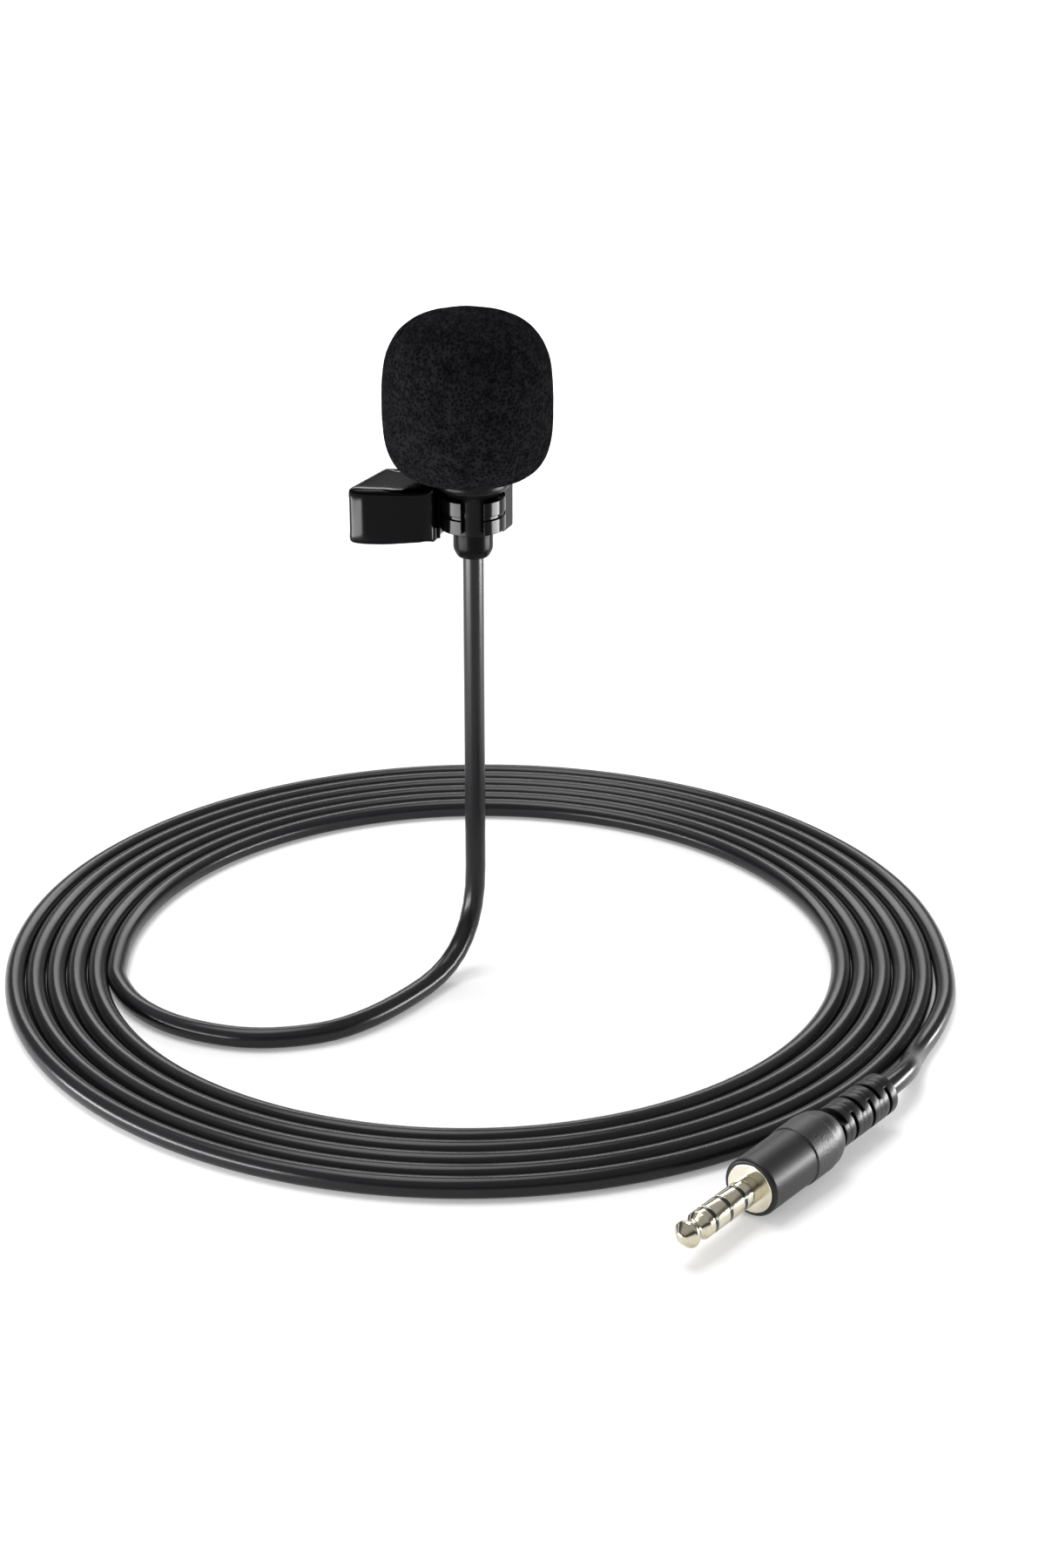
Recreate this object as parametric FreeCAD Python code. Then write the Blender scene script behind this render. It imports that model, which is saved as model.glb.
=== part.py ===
"""Lavalier microphone: a foam-covered microphone held in the snap ring of a sprung garment clip, with its
cord laid on the surface below as a flat spiral that ends in a 3.5 mm four-contact plug.

Millimetres, +Z up. The origin is the middle of the clip's grip, where a garment is held between the jaws.
The microphone's axis is vertical, in front of the jaws, and the cord lies on the plane z = floor_z.
"""

import FreeCAD, Part
import math
import os

from FreeCAD import Vector as V

os.makedirs("parts", exist_ok=True)

# Driving dimensions

# The microphone's axis, and the surface under the cord, counted from the origin
axis_x = -3.2
axis_y = -6.9
floor_z = -65.8

# Fits
snug = 0.02
running = 0.05
slip = 0.15

# Cord and its flat spiral
cord_d = 2.8
coil_turn_gap = 0.5
coil_inner_r = 49.73
coil_half_turns = 11
coil_shift_x = -0.2

# Foam windscreen
foam_r = 11.1
foam_top = 26.5
foam_waist = 15.0
foam_bottom = 4.3
foam_shift_x = -0.6
foam_dome_power = 2.86
foam_base_power = 3.6

# Microphone housing: a neck that sits in the ring and a wider head
neck_r = 3.3
neck_bore_r = 2.2
neck_bottom = -2.6
neck_top = 2.35
head_r = 4.9
head_bore_r = 4.1
head_shoulder = 3.6
head_clearance = 0.3
head_floor = 4.6
head_top = 17.0
grille_plate = 0.7
grille_spigot_wall = 0.65
grille_spigot_depth = 0.8
grille_hole_r = 0.38
grille_hole_pitch = 1.45
felt_t = 0.65

# Electret capsule
capsule_r = 3.0
capsule_h = 3.05
capsule_gap = 0.2
can_wall = 0.2
boot_bottom_t = 0.5
boot_hole_r = 2.3
sound_hole_r = 0.3
sound_hole_circle_r = 1.5
film_t = 0.08
film_ring_w = 0.5
film_ring_t = 0.4
spacer_t = 0.1
backplate_t = 0.33
backplate_hole_r = 0.25
contact_ring_w = 0.4
board_t = 0.4
chip_w = 1.3
chip_d = 1.0
chip_h = 0.75
stack_gap = 0.02

# Cord's end in the housing
relief_r = 2.65
relief_exit_r = 2.1
relief_shoulder = -5.0
relief_exit = -6.1
relief_spigot_top = 1.5
ferrule_wall = 0.5
ferrule_bottom = 1.6
ferrule_h = 1.4
jacket_top = 4.4
wire_r = 0.28
wire_offset = 0.75

# Snap ring
ring_r = 4.3
ring_h = 4.4
ring_mouth = 3.0
ring_groove_w = 0.5
ring_groove_depth = 0.25
ring_boss_w = 3.6
ring_boss_back = 5.0
rivet_r = 0.6
rivet_head_r = 1.1
rivet_head_t = 0.4

# Clip
clip_bottom = -3.5
clip_top = 3.8
jaw_tip_x = 5.2
jaw_nose_y = 5.0
jaw_front_back_y = 6.4
jaw_rear_front_y = 7.4
jaw_plate_t = 1.4
jaw_edge_r = 0.2
jaw_nose_r = 0.4
lever_end_x = -16.1
lever_end_y = -2.7
lever_end_r = 0.9
lever_bulge_x = -14.2
lever_bulge_y = -3.7
lever_bulge_r = 5.0
lever_front_x = -10.4
lever_front_y = -3.95
lever_front_r = 14.0
lever_fall_x = -6.6
lever_fall_y = -3.5
lever_fall_r = 1.5
lever_root_x = -5.1
lever_root_y = -2.5
lever_root_r = 0.8
lever_flange_t = 1.1
lever_flange_x = -11.4
lever_flange_y = 8.0
lever_flange_r = 0.8
cradle_left_x = -4.6
cradle_left_y = -1.0
cradle_right_x = 3.9
cradle_right_y = 1.6
bend_x = -4.6
front_bend_x = -8.6
front_bend_y = 4.0
front_heel_x = -14.4
front_heel_y = 0.3
front_heel_r = 1.2
rear_lever_x = -11.9
rear_lever_y = 11.6
rear_lever_t = 1.5
rear_lever_gap = 0.3
rear_step_x = -9.3
rear_knee_x = -8.2
rear_knee_y = 10.8
rear_shoulder_x = -3.5
rear_shoulder_y = 9.9
rear_bend_x = -8.6
rear_bend_y = 9.25
pin_x = -7.0
pin_y = 6.9
pin_r = 0.75
pin_head_r = 1.25
pin_head_t = 0.4
hinge_pocket_r = 2.1
hinge_ear_r = 1.9
ear_t = 0.95
ear_gap = 0.1
pad_base = 0.2
pad_edge_inset = 0.3
pad_tip_inset = 0.2
tooth_h = 0.35
tooth_pitch = 1.4
tooth_count = 6
tooth_gap = 0.12

# Torsion spring
spring_wire_d = 0.5
spring_coil_r = 1.35
spring_pitch = 0.8
spring_turns = 2
spring_front_leg = 6.0
spring_rear_leg = 4.8
spring_front_angle = 30.4
spring_rear_angle = 16.6

# Plug, with stations counted along its axis from the tip of the jack; its place is counted from the
# spiral's middle, across and along the plug's heading
plug_clear = 2.97
plug_back = 45.93
plug_heading = 51.46
jack_r = 1.75
jack_length = 14.0
point_station = 0.15
point_r = 0.6
cone_front = 1.2
cone_back = 1.6
cone_inset = 0.05
latch_front = 2.4
latch_back = 2.9
latch_r = 1.2
barrel_front = 3.7
tip_length = 4.7
contact_length = 2.35
insulator_length = 0.6
core_r = 0.45
layer_wall = 0.19
layer_step = 0.4
rod_end = 17.2
sleeve_shank_r = 1.58
flange_r = 3.1
flange_t = 0.6
shell_front_r = 3.7
shell_rear_r = 3.85
shell_bend_r = 3.66
shell_shoulder_r = 3.2
shell_end_r = 2.0
shell_wall = 0.5
shell_edge = 0.3
shell_front = 14.1
shell_step = 23.0
shell_taper = 27.3
shell_bend = 28.8
shell_shoulder = 30.0
shell_end = 31.2
core_sleeve_wall = 0.9
core_sleeve_end = 24.0
plug_wire_r = 0.2
plug_wire_circle_r = 0.75
plug_jacket_front = 22.0
disc_count = 6
disc_pitch = 1.93
disc_gap = 0.65
disc_r = 2.75
disc_neck_r = 1.95
disc_web_w = 3.2

cord_r = cord_d / 2
grille_top = head_top + grille_plate
plug_length = shell_end + disc_count * disc_pitch
plug_axis_z = shell_rear_r

# Touching turns: the spiral's pitch is the cord's thickness, and its solid is thinner by the turn gap
coil_pitch = cord_d
coil_wire_d = coil_pitch - coil_turn_gap

# Shared helpers


def save(name, shape):
    """Write one piece as its own file."""
    if not shape.isValid() or len(shape.Solids) != 1:
        print("CHECK", name, shape.isValid(), len(shape.Solids))
    shape.exportStep(os.path.join("parts", name + ".step"))


def loop(points):
    """Closed face through the given points, joined by straight edges."""
    return Part.Face(Part.makePolygon(points + [points[0]]))


def turned(profile):
    """Solid of revolution about the microphone's axis from (radius, height) points."""
    face = loop([V(r, 0, z) for r, z in profile])
    solid = face.revolve(V(0, 0, 0), V(0, 0, 1), 360)
    solid.translate(V(axis_x, axis_y, 0))
    return solid


def tube(r_in, r_out, z0, z1):
    """Plain tube, or a disc where r_in is 0, about the microphone's axis."""
    return turned([(r_in, z0), (r_out, z0), (r_out, z1), (r_in, z1)])


def post(r, x, y, z0, z1):
    """Vertical cylinder at a place counted from the microphone's axis."""
    return Part.makeCylinder(r, z1 - z0, V(axis_x + x, axis_y + y, z0))


def block(x0, x1, y0, y1, z0, z1):
    """Box between two corners counted from the microphone's axis."""
    return Part.makeBox(x1 - x0, y1 - y0, z1 - z0, V(axis_x + x0, axis_y + y0, z0))


def rounded_loop(corners):
    """Closed wire through (x, y, radius) corners, each rounded by an arc tangent to its two sides."""
    sides = []
    starts = []
    ends = []
    count = len(corners)
    for i in range(count):
        x, y, radius = corners[i]
        here = V(x, y, 0)
        before = V(corners[i - 1][0], corners[i - 1][1], 0) - here
        after = V(corners[(i + 1) % count][0], corners[(i + 1) % count][1], 0) - here
        before.normalize()
        after.normalize()
        if radius == 0:
            starts.append(here)
            ends.append(here)
            continue
        half = before.getAngle(after) / 2
        cut = radius / math.tan(half)
        middle = (before + after).normalize() * (radius / math.sin(half) - radius)
        starts.append(here + before * cut)
        ends.append(here + after * cut)
        sides.append(Part.Arc(starts[i], here + middle, ends[i]).toShape())
    for i in range(count):
        sides.append(Part.makeLine(ends[i], starts[(i + 1) % count]))
    return Part.Wire(Part.__sortEdges__(sides))


def prism(corners, z0, z1):
    """Upright prism on a rounded outline counted from the microphone's axis."""
    solid = Part.Face(rounded_loop(corners)).extrude(V(0, 0, z1 - z0))
    solid.translate(V(axis_x, axis_y, z0))
    return solid


def hole_ring(count, circle_r, first=0.0):
    """Places evenly spaced on a circle."""
    angles = [first + 2 * math.pi * i / count for i in range(count)]
    return [(circle_r * math.cos(angle), circle_r * math.sin(angle)) for angle in angles]


def on_floor(x, y, z=cord_r):
    """Point counted from the spiral's centre, at a height over the surface that the cord lies on."""
    return V(axis_x + coil_shift_x + x, axis_y + y, floor_z + z)


# Foam windscreen


def foam_curve(height, power, steps=14):
    """Quarter outline from the waist to the axis, a rounded square more than a circle."""
    points = []
    for i in range(steps + 1):
        angle = math.pi / 2 * i / steps
        radius = foam_r * max(0.0, math.cos(angle)) ** (2 / power)
        points.append(V(radius, 0, foam_waist + height * math.sin(angle) ** (2 / power)))
    points[-1].x = 0
    curve = Part.BSplineCurve()
    curve.interpolate(points)
    return curve.toShape()


def make_windscreen():
    """Domed foam ball with a flat base, bored for the head."""
    dome = foam_curve(foam_top - foam_waist, foam_dome_power)
    base = foam_curve(foam_bottom - foam_waist, foam_base_power)
    spine = Part.makeLine(V(0, 0, foam_top), V(0, 0, foam_bottom))
    ball = Part.Face(Part.Wire(Part.__sortEdges__([dome, spine, base]))).revolve(V(0, 0, 0), V(0, 0, 1), 360)
    ball.translate(V(axis_x + foam_shift_x, axis_y, 0))
    return ball.cut(post(head_r + slip, 0, 0, foam_bottom - 1, grille_top + 2 * slip))


save("foam_windscreen", make_windscreen())


# Microphone housing and grille


def make_housing():
    """Turned shell: neck for the ring, cone, and head."""
    return turned(
        [
            (neck_bore_r, neck_bottom),
            (neck_r, neck_bottom),
            (neck_r, neck_top),
            (head_r, head_shoulder),
            (head_r, head_top),
            (head_bore_r, head_top),
            (head_bore_r, head_floor),
            (neck_bore_r, head_floor - (head_bore_r - neck_bore_r) / 2),
        ]
    )


def make_grille():
    """Perforated cap whose spigot plugs the head."""
    spigot_r = head_bore_r - running
    spigot_z = head_top - grille_spigot_depth
    cap = turned(
        [
            (0, grille_top),
            (head_r, grille_top),
            (head_r, head_top),
            (spigot_r, head_top),
            (spigot_r, spigot_z),
            (spigot_r - grille_spigot_wall, spigot_z),
            (spigot_r - grille_spigot_wall, head_top),
            (0, head_top),
        ]
    )
    places = [(0, 0)] + hole_ring(6, grille_hole_pitch) + hole_ring(12, 2 * grille_hole_pitch, math.pi / 12)
    for x, y in places:
        cap = cap.cut(post(grille_hole_r, x, y, spigot_z, grille_top + 1))
    return cap


save("mic_housing", make_housing())
save("grille_cap", make_grille())
felt_r = head_bore_r - running - grille_spigot_wall - slip
save("grille_felt", tube(0, felt_r, head_top - stack_gap - felt_t, head_top - stack_gap))


# Electret capsule

can_top = head_top - stack_gap - felt_t - capsule_gap
can_bottom = can_top - capsule_h


def make_boot():
    """Rubber cup that holds the capsule in the head."""
    outer = head_bore_r - 2 * running
    inner = capsule_r + running
    floor = can_bottom - running
    return turned(
        [
            (inner, floor),
            (inner, can_top),
            (felt_r, can_top),
            (outer, can_top),
            (outer, floor - boot_bottom_t),
            (boot_hole_r, floor - boot_bottom_t),
            (boot_hole_r, floor),
        ]
    )


def make_can():
    """Drawn cup, open below, with sound holes in its face."""
    cup = turned(
        [
            (0, can_top),
            (capsule_r, can_top),
            (capsule_r, can_bottom),
            (capsule_r - can_wall, can_bottom),
            (capsule_r - can_wall, can_top - can_wall),
            (0, can_top - can_wall),
        ]
    )
    for x, y in [(0, 0)] + hole_ring(6, sound_hole_circle_r):
        cup = cup.cut(post(sound_hole_r, x, y, can_bottom, can_top + 1))
    return cup


save("capsule_boot", make_boot())
save("capsule_can", make_can())

stack_r = capsule_r - can_wall - stack_gap
film_ring_z = can_top - can_wall - stack_gap - film_ring_t
film_z = film_ring_z - film_t
spacer_z = film_z - spacer_t
backplate_z = spacer_z - stack_gap - backplate_t
board_z = can_bottom
board_top = board_z + board_t
backplate_r = stack_r - film_ring_w / 2 - stack_gap
contact_r = backplate_r - stack_gap

save("diaphragm_ring", tube(stack_r - film_ring_w, stack_r, film_ring_z, film_ring_z + film_ring_t))
save("diaphragm", tube(0, stack_r, film_z, film_ring_z))
save("diaphragm_spacer", tube(stack_r - film_ring_w, stack_r, spacer_z, film_z))


def make_backplate():
    """Charged plate with four vents."""
    plate = tube(0, backplate_r, backplate_z, backplate_z + backplate_t)
    for x, y in hole_ring(4, backplate_r / 2):
        plate = plate.cut(post(backplate_hole_r, x, y, backplate_z - 1, spacer_z))
    return plate


save("backplate", make_backplate())
save("insulating_collar", tube(backplate_r + stack_gap, stack_r, board_top + stack_gap, spacer_z - stack_gap))
save("contact_ring", tube(contact_r - contact_ring_w, contact_r, board_top, backplate_z))
save("fet_board", tube(0, stack_r, board_z, board_top))
save("fet_chip", block(-chip_w / 2, chip_w / 2, -chip_d / 2, chip_d / 2, board_top, board_top + chip_h))


# Cord's end in the housing


def make_relief():
    """Rubber sleeve with a collar under the neck and a spigot inside it."""
    bore = cord_r + snug
    spigot = neck_bore_r - running
    return turned(
        [
            (bore, relief_exit),
            (relief_exit_r, relief_exit),
            (relief_r, relief_shoulder),
            (relief_r, neck_bottom - snug),
            (spigot, neck_bottom - snug),
            (spigot, relief_spigot_top),
            (bore, relief_spigot_top),
        ]
    )


save("mic_strain_relief", make_relief())
ferrule_r = cord_r + snug
save("cord_ferrule", tube(ferrule_r, ferrule_r + ferrule_wall, ferrule_bottom, ferrule_bottom + ferrule_h))
save("mic_jacket_end", tube(0, cord_r, relief_exit, jacket_top))
save("signal_wire", post(wire_r, wire_offset, 0, jacket_top, board_z))
save("shield_wire", post(wire_r, -wire_offset, 0, jacket_top, board_z))


# Snap ring and its rivet


def make_ring():
    """Open ring with a groove round it, a mouth in front and a boss behind."""
    top = ring_h / 2
    groove_r = ring_r - ring_groove_depth
    ring = turned(
        [
            (neck_r + running, -top),
            (ring_r, -top),
            (ring_r, -ring_groove_w / 2),
            (groove_r, -ring_groove_w / 2),
            (groove_r, ring_groove_w / 2),
            (ring_r, ring_groove_w / 2),
            (ring_r, top),
            (neck_r + running, top),
        ]
    )
    boss = block(-ring_boss_w / 2, ring_boss_w / 2, neck_r, ring_boss_back, -top, top)
    boss = boss.cut(post(neck_r + running, 0, 0, -top, top))
    mouth = block(-ring_mouth / 2, ring_mouth / 2, -ring_r - 1, 0, -top, top)
    return ring.fuse(boss).cut(mouth).cut(rivet_hole(rivet_r + snug)).removeSplitter()


def rivet_hole(radius):
    """Cylinder along the rivet's line, from the middle of the ring's boss to the jaw's back."""
    start = V(axis_x, axis_y + rivet_front_y, 0)
    return Part.makeCylinder(radius, jaw_front_back_y - rivet_front_y, start, V(0, 1, 0))


def rivet_recess(radius, depth):
    """Cylinder for the rivet's head, sunk in the jaw's back."""
    start = V(axis_x, axis_y + jaw_front_back_y - depth, 0)
    return Part.makeCylinder(radius, depth, start, V(0, 1, 0))


rivet_front_y = (neck_r + ring_boss_back) / 2
save("snap_ring", make_ring())
rivet = rivet_hole(rivet_r).cut(rivet_recess(rivet_head_r, rivet_head_t))
save("ring_rivet", rivet.fuse(rivet_recess(rivet_head_r, rivet_head_t)).removeSplitter())


# Clip jaws, pads and hinge pin

ear_top_z = clip_top - ear_t
ear_low_z = clip_bottom + ear_t
rear_ear_top_z = ear_top_z - ear_gap
rear_ear_low_z = ear_low_z + ear_gap
pocket_top_z = rear_ear_top_z - ear_t
pocket_low_z = rear_ear_low_z + ear_t


def hinge_ear(z0, z1, side):
    """Eye round the pin, with a web that reaches to its jaw: side is -1 in front and 1 behind."""
    reach = hinge_pocket_r + ear_t
    low, high = sorted([pin_y, pin_y + side * reach])
    web = block(pin_x - hinge_ear_r, pin_x + hinge_ear_r, low, high, z0, z1)
    return post(hinge_ear_r, pin_x, pin_y, z0, z1).fuse(web)


def make_front_jaw():
    """Finger lever with a bulging front and a flange along top and bottom, ring cradle and jaw, moulded as one."""
    front = [
        (lever_end_x, lever_end_y, lever_end_r),
        (lever_bulge_x, lever_bulge_y, lever_bulge_r),
        (lever_front_x, lever_front_y, lever_front_r),
    ]
    corners = front + [
        (lever_fall_x, lever_fall_y, lever_fall_r),
        (lever_root_x, lever_root_y, lever_root_r),
        (cradle_left_x, cradle_left_y, 0),
        (cradle_right_x, cradle_right_y, 0),
        (jaw_tip_x, jaw_nose_y, jaw_nose_r),
        (jaw_tip_x, jaw_front_back_y, jaw_edge_r),
        (bend_x, jaw_front_back_y, 0),
        (front_bend_x, front_bend_y, 0),
        (front_heel_x, front_heel_y, front_heel_r),
    ]
    jaw = prism(corners, clip_bottom, clip_top)
    flange = front + [
        (front_bend_x, lever_front_y, 0),
        (front_bend_x, front_bend_y, 0),
        (lever_flange_x, lever_flange_y, lever_flange_r),
    ]
    jaw = jaw.fuse(prism(flange, clip_top - lever_flange_t, clip_top))
    jaw = jaw.fuse(prism(flange, clip_bottom, clip_bottom + lever_flange_t))
    jaw = jaw.cut(post(ring_r + running, 0, 0, clip_bottom, clip_top))
    half_boss = ring_boss_w / 2 + running
    slot = block(-half_boss, half_boss, 0, ring_boss_back + running, -ring_h / 2 - running, clip_top)
    jaw = jaw.cut(slot)
    jaw = jaw.cut(post(head_r + head_clearance, 0, 0, neck_top - slip, clip_top))
    jaw = jaw.cut(post(hinge_pocket_r, pin_x, pin_y, ear_low_z, ear_top_z))
    jaw = jaw.fuse(hinge_ear(ear_top_z, clip_top, -1)).fuse(hinge_ear(clip_bottom, ear_low_z, -1))
    jaw = jaw.cut(post(pin_r + snug, pin_x, pin_y, clip_bottom, clip_top))
    jaw = jaw.cut(rivet_hole(rivet_r + snug)).cut(rivet_recess(rivet_head_r + snug, rivet_head_t))
    return jaw.removeSplitter()


def make_rear_jaw():
    """Rear jaw and its finger lever, bent outwards and low enough to pass between the front lever's flanges."""
    corners = [
        (jaw_tip_x, jaw_rear_front_y, jaw_edge_r),
        (jaw_tip_x, jaw_rear_front_y + jaw_plate_t, jaw_nose_r),
        (rear_shoulder_x, rear_shoulder_y, rear_lever_t),
        (rear_knee_x, rear_knee_y, rear_lever_t),
        (rear_lever_x, rear_lever_y, jaw_nose_r),
        (rear_lever_x - jaw_nose_r, rear_lever_y - rear_lever_t, jaw_nose_r),
        (rear_bend_x, rear_bend_y, 0),
        (bend_x, jaw_rear_front_y, 0),
    ]
    jaw = prism(corners, clip_bottom, clip_top)
    margin = lever_flange_t + rear_lever_gap
    end_x = rear_lever_x - rear_lever_t
    near_y = rear_bend_y - rear_lever_t
    far_y = rear_lever_y + rear_lever_t
    jaw = jaw.cut(block(end_x, rear_step_x, near_y, far_y, clip_top - margin, clip_top))
    jaw = jaw.cut(block(end_x, rear_step_x, near_y, far_y, clip_bottom, clip_bottom + margin))
    jaw = jaw.cut(post(hinge_pocket_r, pin_x, pin_y, clip_bottom, clip_top))
    jaw = jaw.fuse(hinge_ear(pocket_top_z, rear_ear_top_z, 1)).fuse(hinge_ear(rear_ear_low_z, pocket_low_z, 1))
    return jaw.cut(post(pin_r + running, pin_x, pin_y, clip_bottom, clip_top)).removeSplitter()


def tooth_line(base_y):
    """Saw-tooth edge along the jaw, from the tip inwards."""
    points = []
    for i in range(tooth_count):
        x = jaw_tip_x - pad_tip_inset - i * tooth_pitch
        points.append((x, base_y, 0))
        points.append((x - tooth_pitch / 2, base_y + tooth_h, 0))
    points.append((jaw_tip_x - pad_tip_inset - tooth_count * tooth_pitch, base_y, 0))
    return points


def make_pad(back_y, teeth):
    """Toothed grip strip between its jaw's face and the saw-tooth edge."""
    left = teeth[-1][0]
    right = teeth[0][0]
    corners = [(left, back_y, 0), (right, back_y, 0)] + teeth
    return prism(corners, clip_bottom + pad_edge_inset, clip_top - pad_edge_inset)


save("front_jaw", make_front_jaw())
save("rear_jaw", make_rear_jaw())
front_teeth = tooth_line(jaw_front_back_y + pad_base)
rear_teeth = tooth_line(jaw_front_back_y + pad_base + tooth_gap)
save("front_grip_pad", make_pad(jaw_front_back_y, front_teeth))
save("rear_grip_pad", make_pad(jaw_rear_front_y, rear_teeth))
shank = post(pin_r, pin_x, pin_y, clip_bottom, clip_top)
pin_low_head = post(pin_head_r, pin_x, pin_y, clip_bottom - pin_head_t, clip_bottom)
pin_top_head = post(pin_head_r, pin_x, pin_y, clip_top, clip_top + pin_head_t)
save("hinge_pin", shank.fuse(pin_low_head).fuse(pin_top_head).removeSplitter())


# Torsion spring


def make_spring():
    """Wire coil round the pin with a straight leg along each lever, one unbroken tube."""
    first = math.radians(spring_front_angle - 90)
    last = math.radians(90 - spring_rear_angle) + 2 * math.pi * spring_turns
    quarter_count = 4 * spring_turns + 2
    middle_z = (pocket_top_z + pocket_low_z) / 2
    rise = spring_pitch * (last - first) / (2 * math.pi)

    def at(share):
        angle = first + (last - first) * share
        x = axis_x + pin_x + spring_coil_r * math.cos(angle)
        y = axis_y + pin_y + spring_coil_r * math.sin(angle)
        return V(x, y, middle_z - rise / 2 + rise * share)

    def along(share):
        angle = first + (last - first) * share
        return V(-math.sin(angle), math.cos(angle), 0)

    edges = [Part.makeLine(at(0) - along(0) * spring_front_leg, at(0))]
    for i in range(quarter_count):
        a, b, c = i / quarter_count, (i + 0.5) / quarter_count, (i + 1) / quarter_count
        edges.append(Part.Arc(at(a), at(b), at(c)).toShape())
    edges.append(Part.makeLine(at(1), at(1) + along(1) * spring_rear_leg))
    return swept(edges, spring_wire_d)


def swept(edges, diameter):
    """Round tube along a chain of edges, closed at both ends."""
    path = Part.Wire(edges)
    start = edges[0].valueAt(edges[0].FirstParameter)
    heading = edges[0].tangentAt(edges[0].FirstParameter)
    shell = Part.BRepOffsetAPI.MakePipeShell(path)
    shell.add(Part.Wire(Part.makeCircle(diameter / 2, start, heading)))
    shell.build()
    shell.makeSolid()
    section = math.pi * diameter**2 / 4
    print("tube", diameter, "length", round(path.Length, 2), "volume ratio",
          round(shell.shape().Volume / (section * path.Length), 5))
    return shell.shape()


save("torsion_spring", make_spring())


# Free cord


def cord_path(points):
    """Straight runs joined by tangent arcs, each as large as its two runs allow."""
    edges = []
    here = points[0]
    for i in range(1, len(points) - 1):
        back = points[i - 1] - points[i]
        ahead = points[i + 1] - points[i]
        shorter = min(back.Length, ahead.Length)
        back.normalize()
        ahead.normalize()
        half_turn = (math.pi - back.getAngle(ahead)) / 2
        cut = 0.45 * shorter
        radius = cut / math.tan(half_turn)
        print("cord turn", round(math.degrees(2 * half_turn), 1), "radius", round(radius, 2))
        start = points[i] + back * cut
        end = points[i] + ahead * cut
        middle = (back + ahead).normalize() * (radius / math.cos(half_turn) - radius)
        edges.append(Part.makeLine(here, start))
        edges.append(Part.Arc(start, points[i] + middle, end).toShape())
        here = end
    edges.append(Part.makeLine(here, points[-1]))
    return edges


coil_outer_x = coil_inner_r + coil_half_turns * coil_pitch / 2
coil_stub = cord_d

# Straight down from the strain relief, then along the surface to the front left and into the spiral
mic_lead_points = [
    V(axis_x, axis_y, relief_exit),
    V(axis_x, axis_y, floor_z + cord_r),
    on_floor(-13.8, -22.1),
    on_floor(-26.9, -26.6),
    on_floor(11.43 - coil_inner_r, -23.3),
    on_floor(4.33 - coil_inner_r, -17.0),
    on_floor(0.78 - coil_inner_r, -9.6),
    on_floor(-coil_inner_r, -5.1),
    on_floor(-coil_inner_r, -coil_stub),
]
save("mic_lead", swept(cord_path(mic_lead_points), cord_d))


def make_coil():
    """Flat spiral of half turns whose centres alternate about the middle, with a straight stub at each end."""
    quarter = coil_pitch / 4
    edges = [Part.makeLine(on_floor(-coil_inner_r, -coil_stub), on_floor(-coil_inner_r, 0))]
    samples = []
    for i in range(coil_half_turns):
        side = 1 if i % 2 == 0 else -1
        radius = coil_inner_r + quarter + i * coil_pitch / 2
        centre = side * quarter
        start = on_floor(centre - side * radius, 0)
        middle = on_floor(centre, side * radius)
        end = on_floor(centre + side * radius, 0)
        edges.append(Part.Arc(start, middle, end).toShape())
        samples.append(edges[-1].discretize(Number=90)[:-1])
    edges.append(Part.makeLine(on_floor(coil_outer_x, 0), on_floor(coil_outer_x, -coil_stub)))
    points = [p for half in samples for p in half]
    far = 60
    least = min(p.distanceToPoint(q) for i, p in enumerate(points) for q in points[i + far :])
    print("coil: least gap to itself", round(least - coil_wire_d, 3))
    return swept(edges, coil_wire_d)


save("cord_coil", make_coil())


# Plug


def beside_coil(clear, degrees):
    """Point on the surface outside the last turn, at an angle about the spiral's middle."""
    reach = coil_outer_x + clear
    return on_floor(reach * math.cos(math.radians(degrees)), reach * math.sin(math.radians(degrees)))


plug_angle = math.radians(plug_heading)
plug_along = V(math.cos(plug_angle), math.sin(plug_angle), 0)
plug_across = V(math.sin(plug_angle), -math.cos(plug_angle), 0)
plug_tip = on_floor(0, 0, plug_axis_z) + plug_across * (coil_outer_x + plug_clear) - plug_along * plug_back
plug_place = FreeCAD.Placement(plug_tip, FreeCAD.Rotation(V(0, 0, 1), plug_heading))


def spun(profile):
    """Solid of revolution about the plug's axis from (station, radius) points."""
    solid = loop([V(s, r, 0) for s, r in profile]).revolve(V(0, 0, 0), V(1, 0, 0), 360)
    solid.Placement = plug_place
    return solid


def make_tip():
    """Rounded point with its latch groove, on the rod that runs back through the plug."""
    return spun(
        [
            (0, 0),
            (point_station, point_r),
            (cone_front, jack_r - cone_inset),
            (cone_back, jack_r - cone_inset),
            (latch_front, latch_r),
            (latch_back, latch_r),
            (barrel_front, jack_r),
            (tip_length, jack_r),
            (tip_length, core_r),
            (rod_end, core_r),
            (rod_end, 0),
        ]
    )


def make_layer(front, length, level):
    """Contact or insulator: a ring flush with the jack, on a tube nested round the one before it."""
    inner = core_r + level * layer_wall + snug / 2
    outer = core_r + (level + 1) * layer_wall - snug / 2
    back = rod_end - (level + 1) * layer_step
    edge = front + length
    return spun([(front, inner), (front, jack_r), (edge, jack_r), (edge, outer), (back, outer), (back, inner)])


save("plug_tip", make_tip())
station = tip_length
layer_names = [
    ("plug_insulator_1", insulator_length),
    ("plug_ring_1", contact_length),
    ("plug_insulator_2", insulator_length),
    ("plug_ring_2", contact_length),
    ("plug_insulator_3", insulator_length),
]
for level, (name, length) in enumerate(layer_names):
    save(name, make_layer(station, length, level))
    station += length

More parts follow.
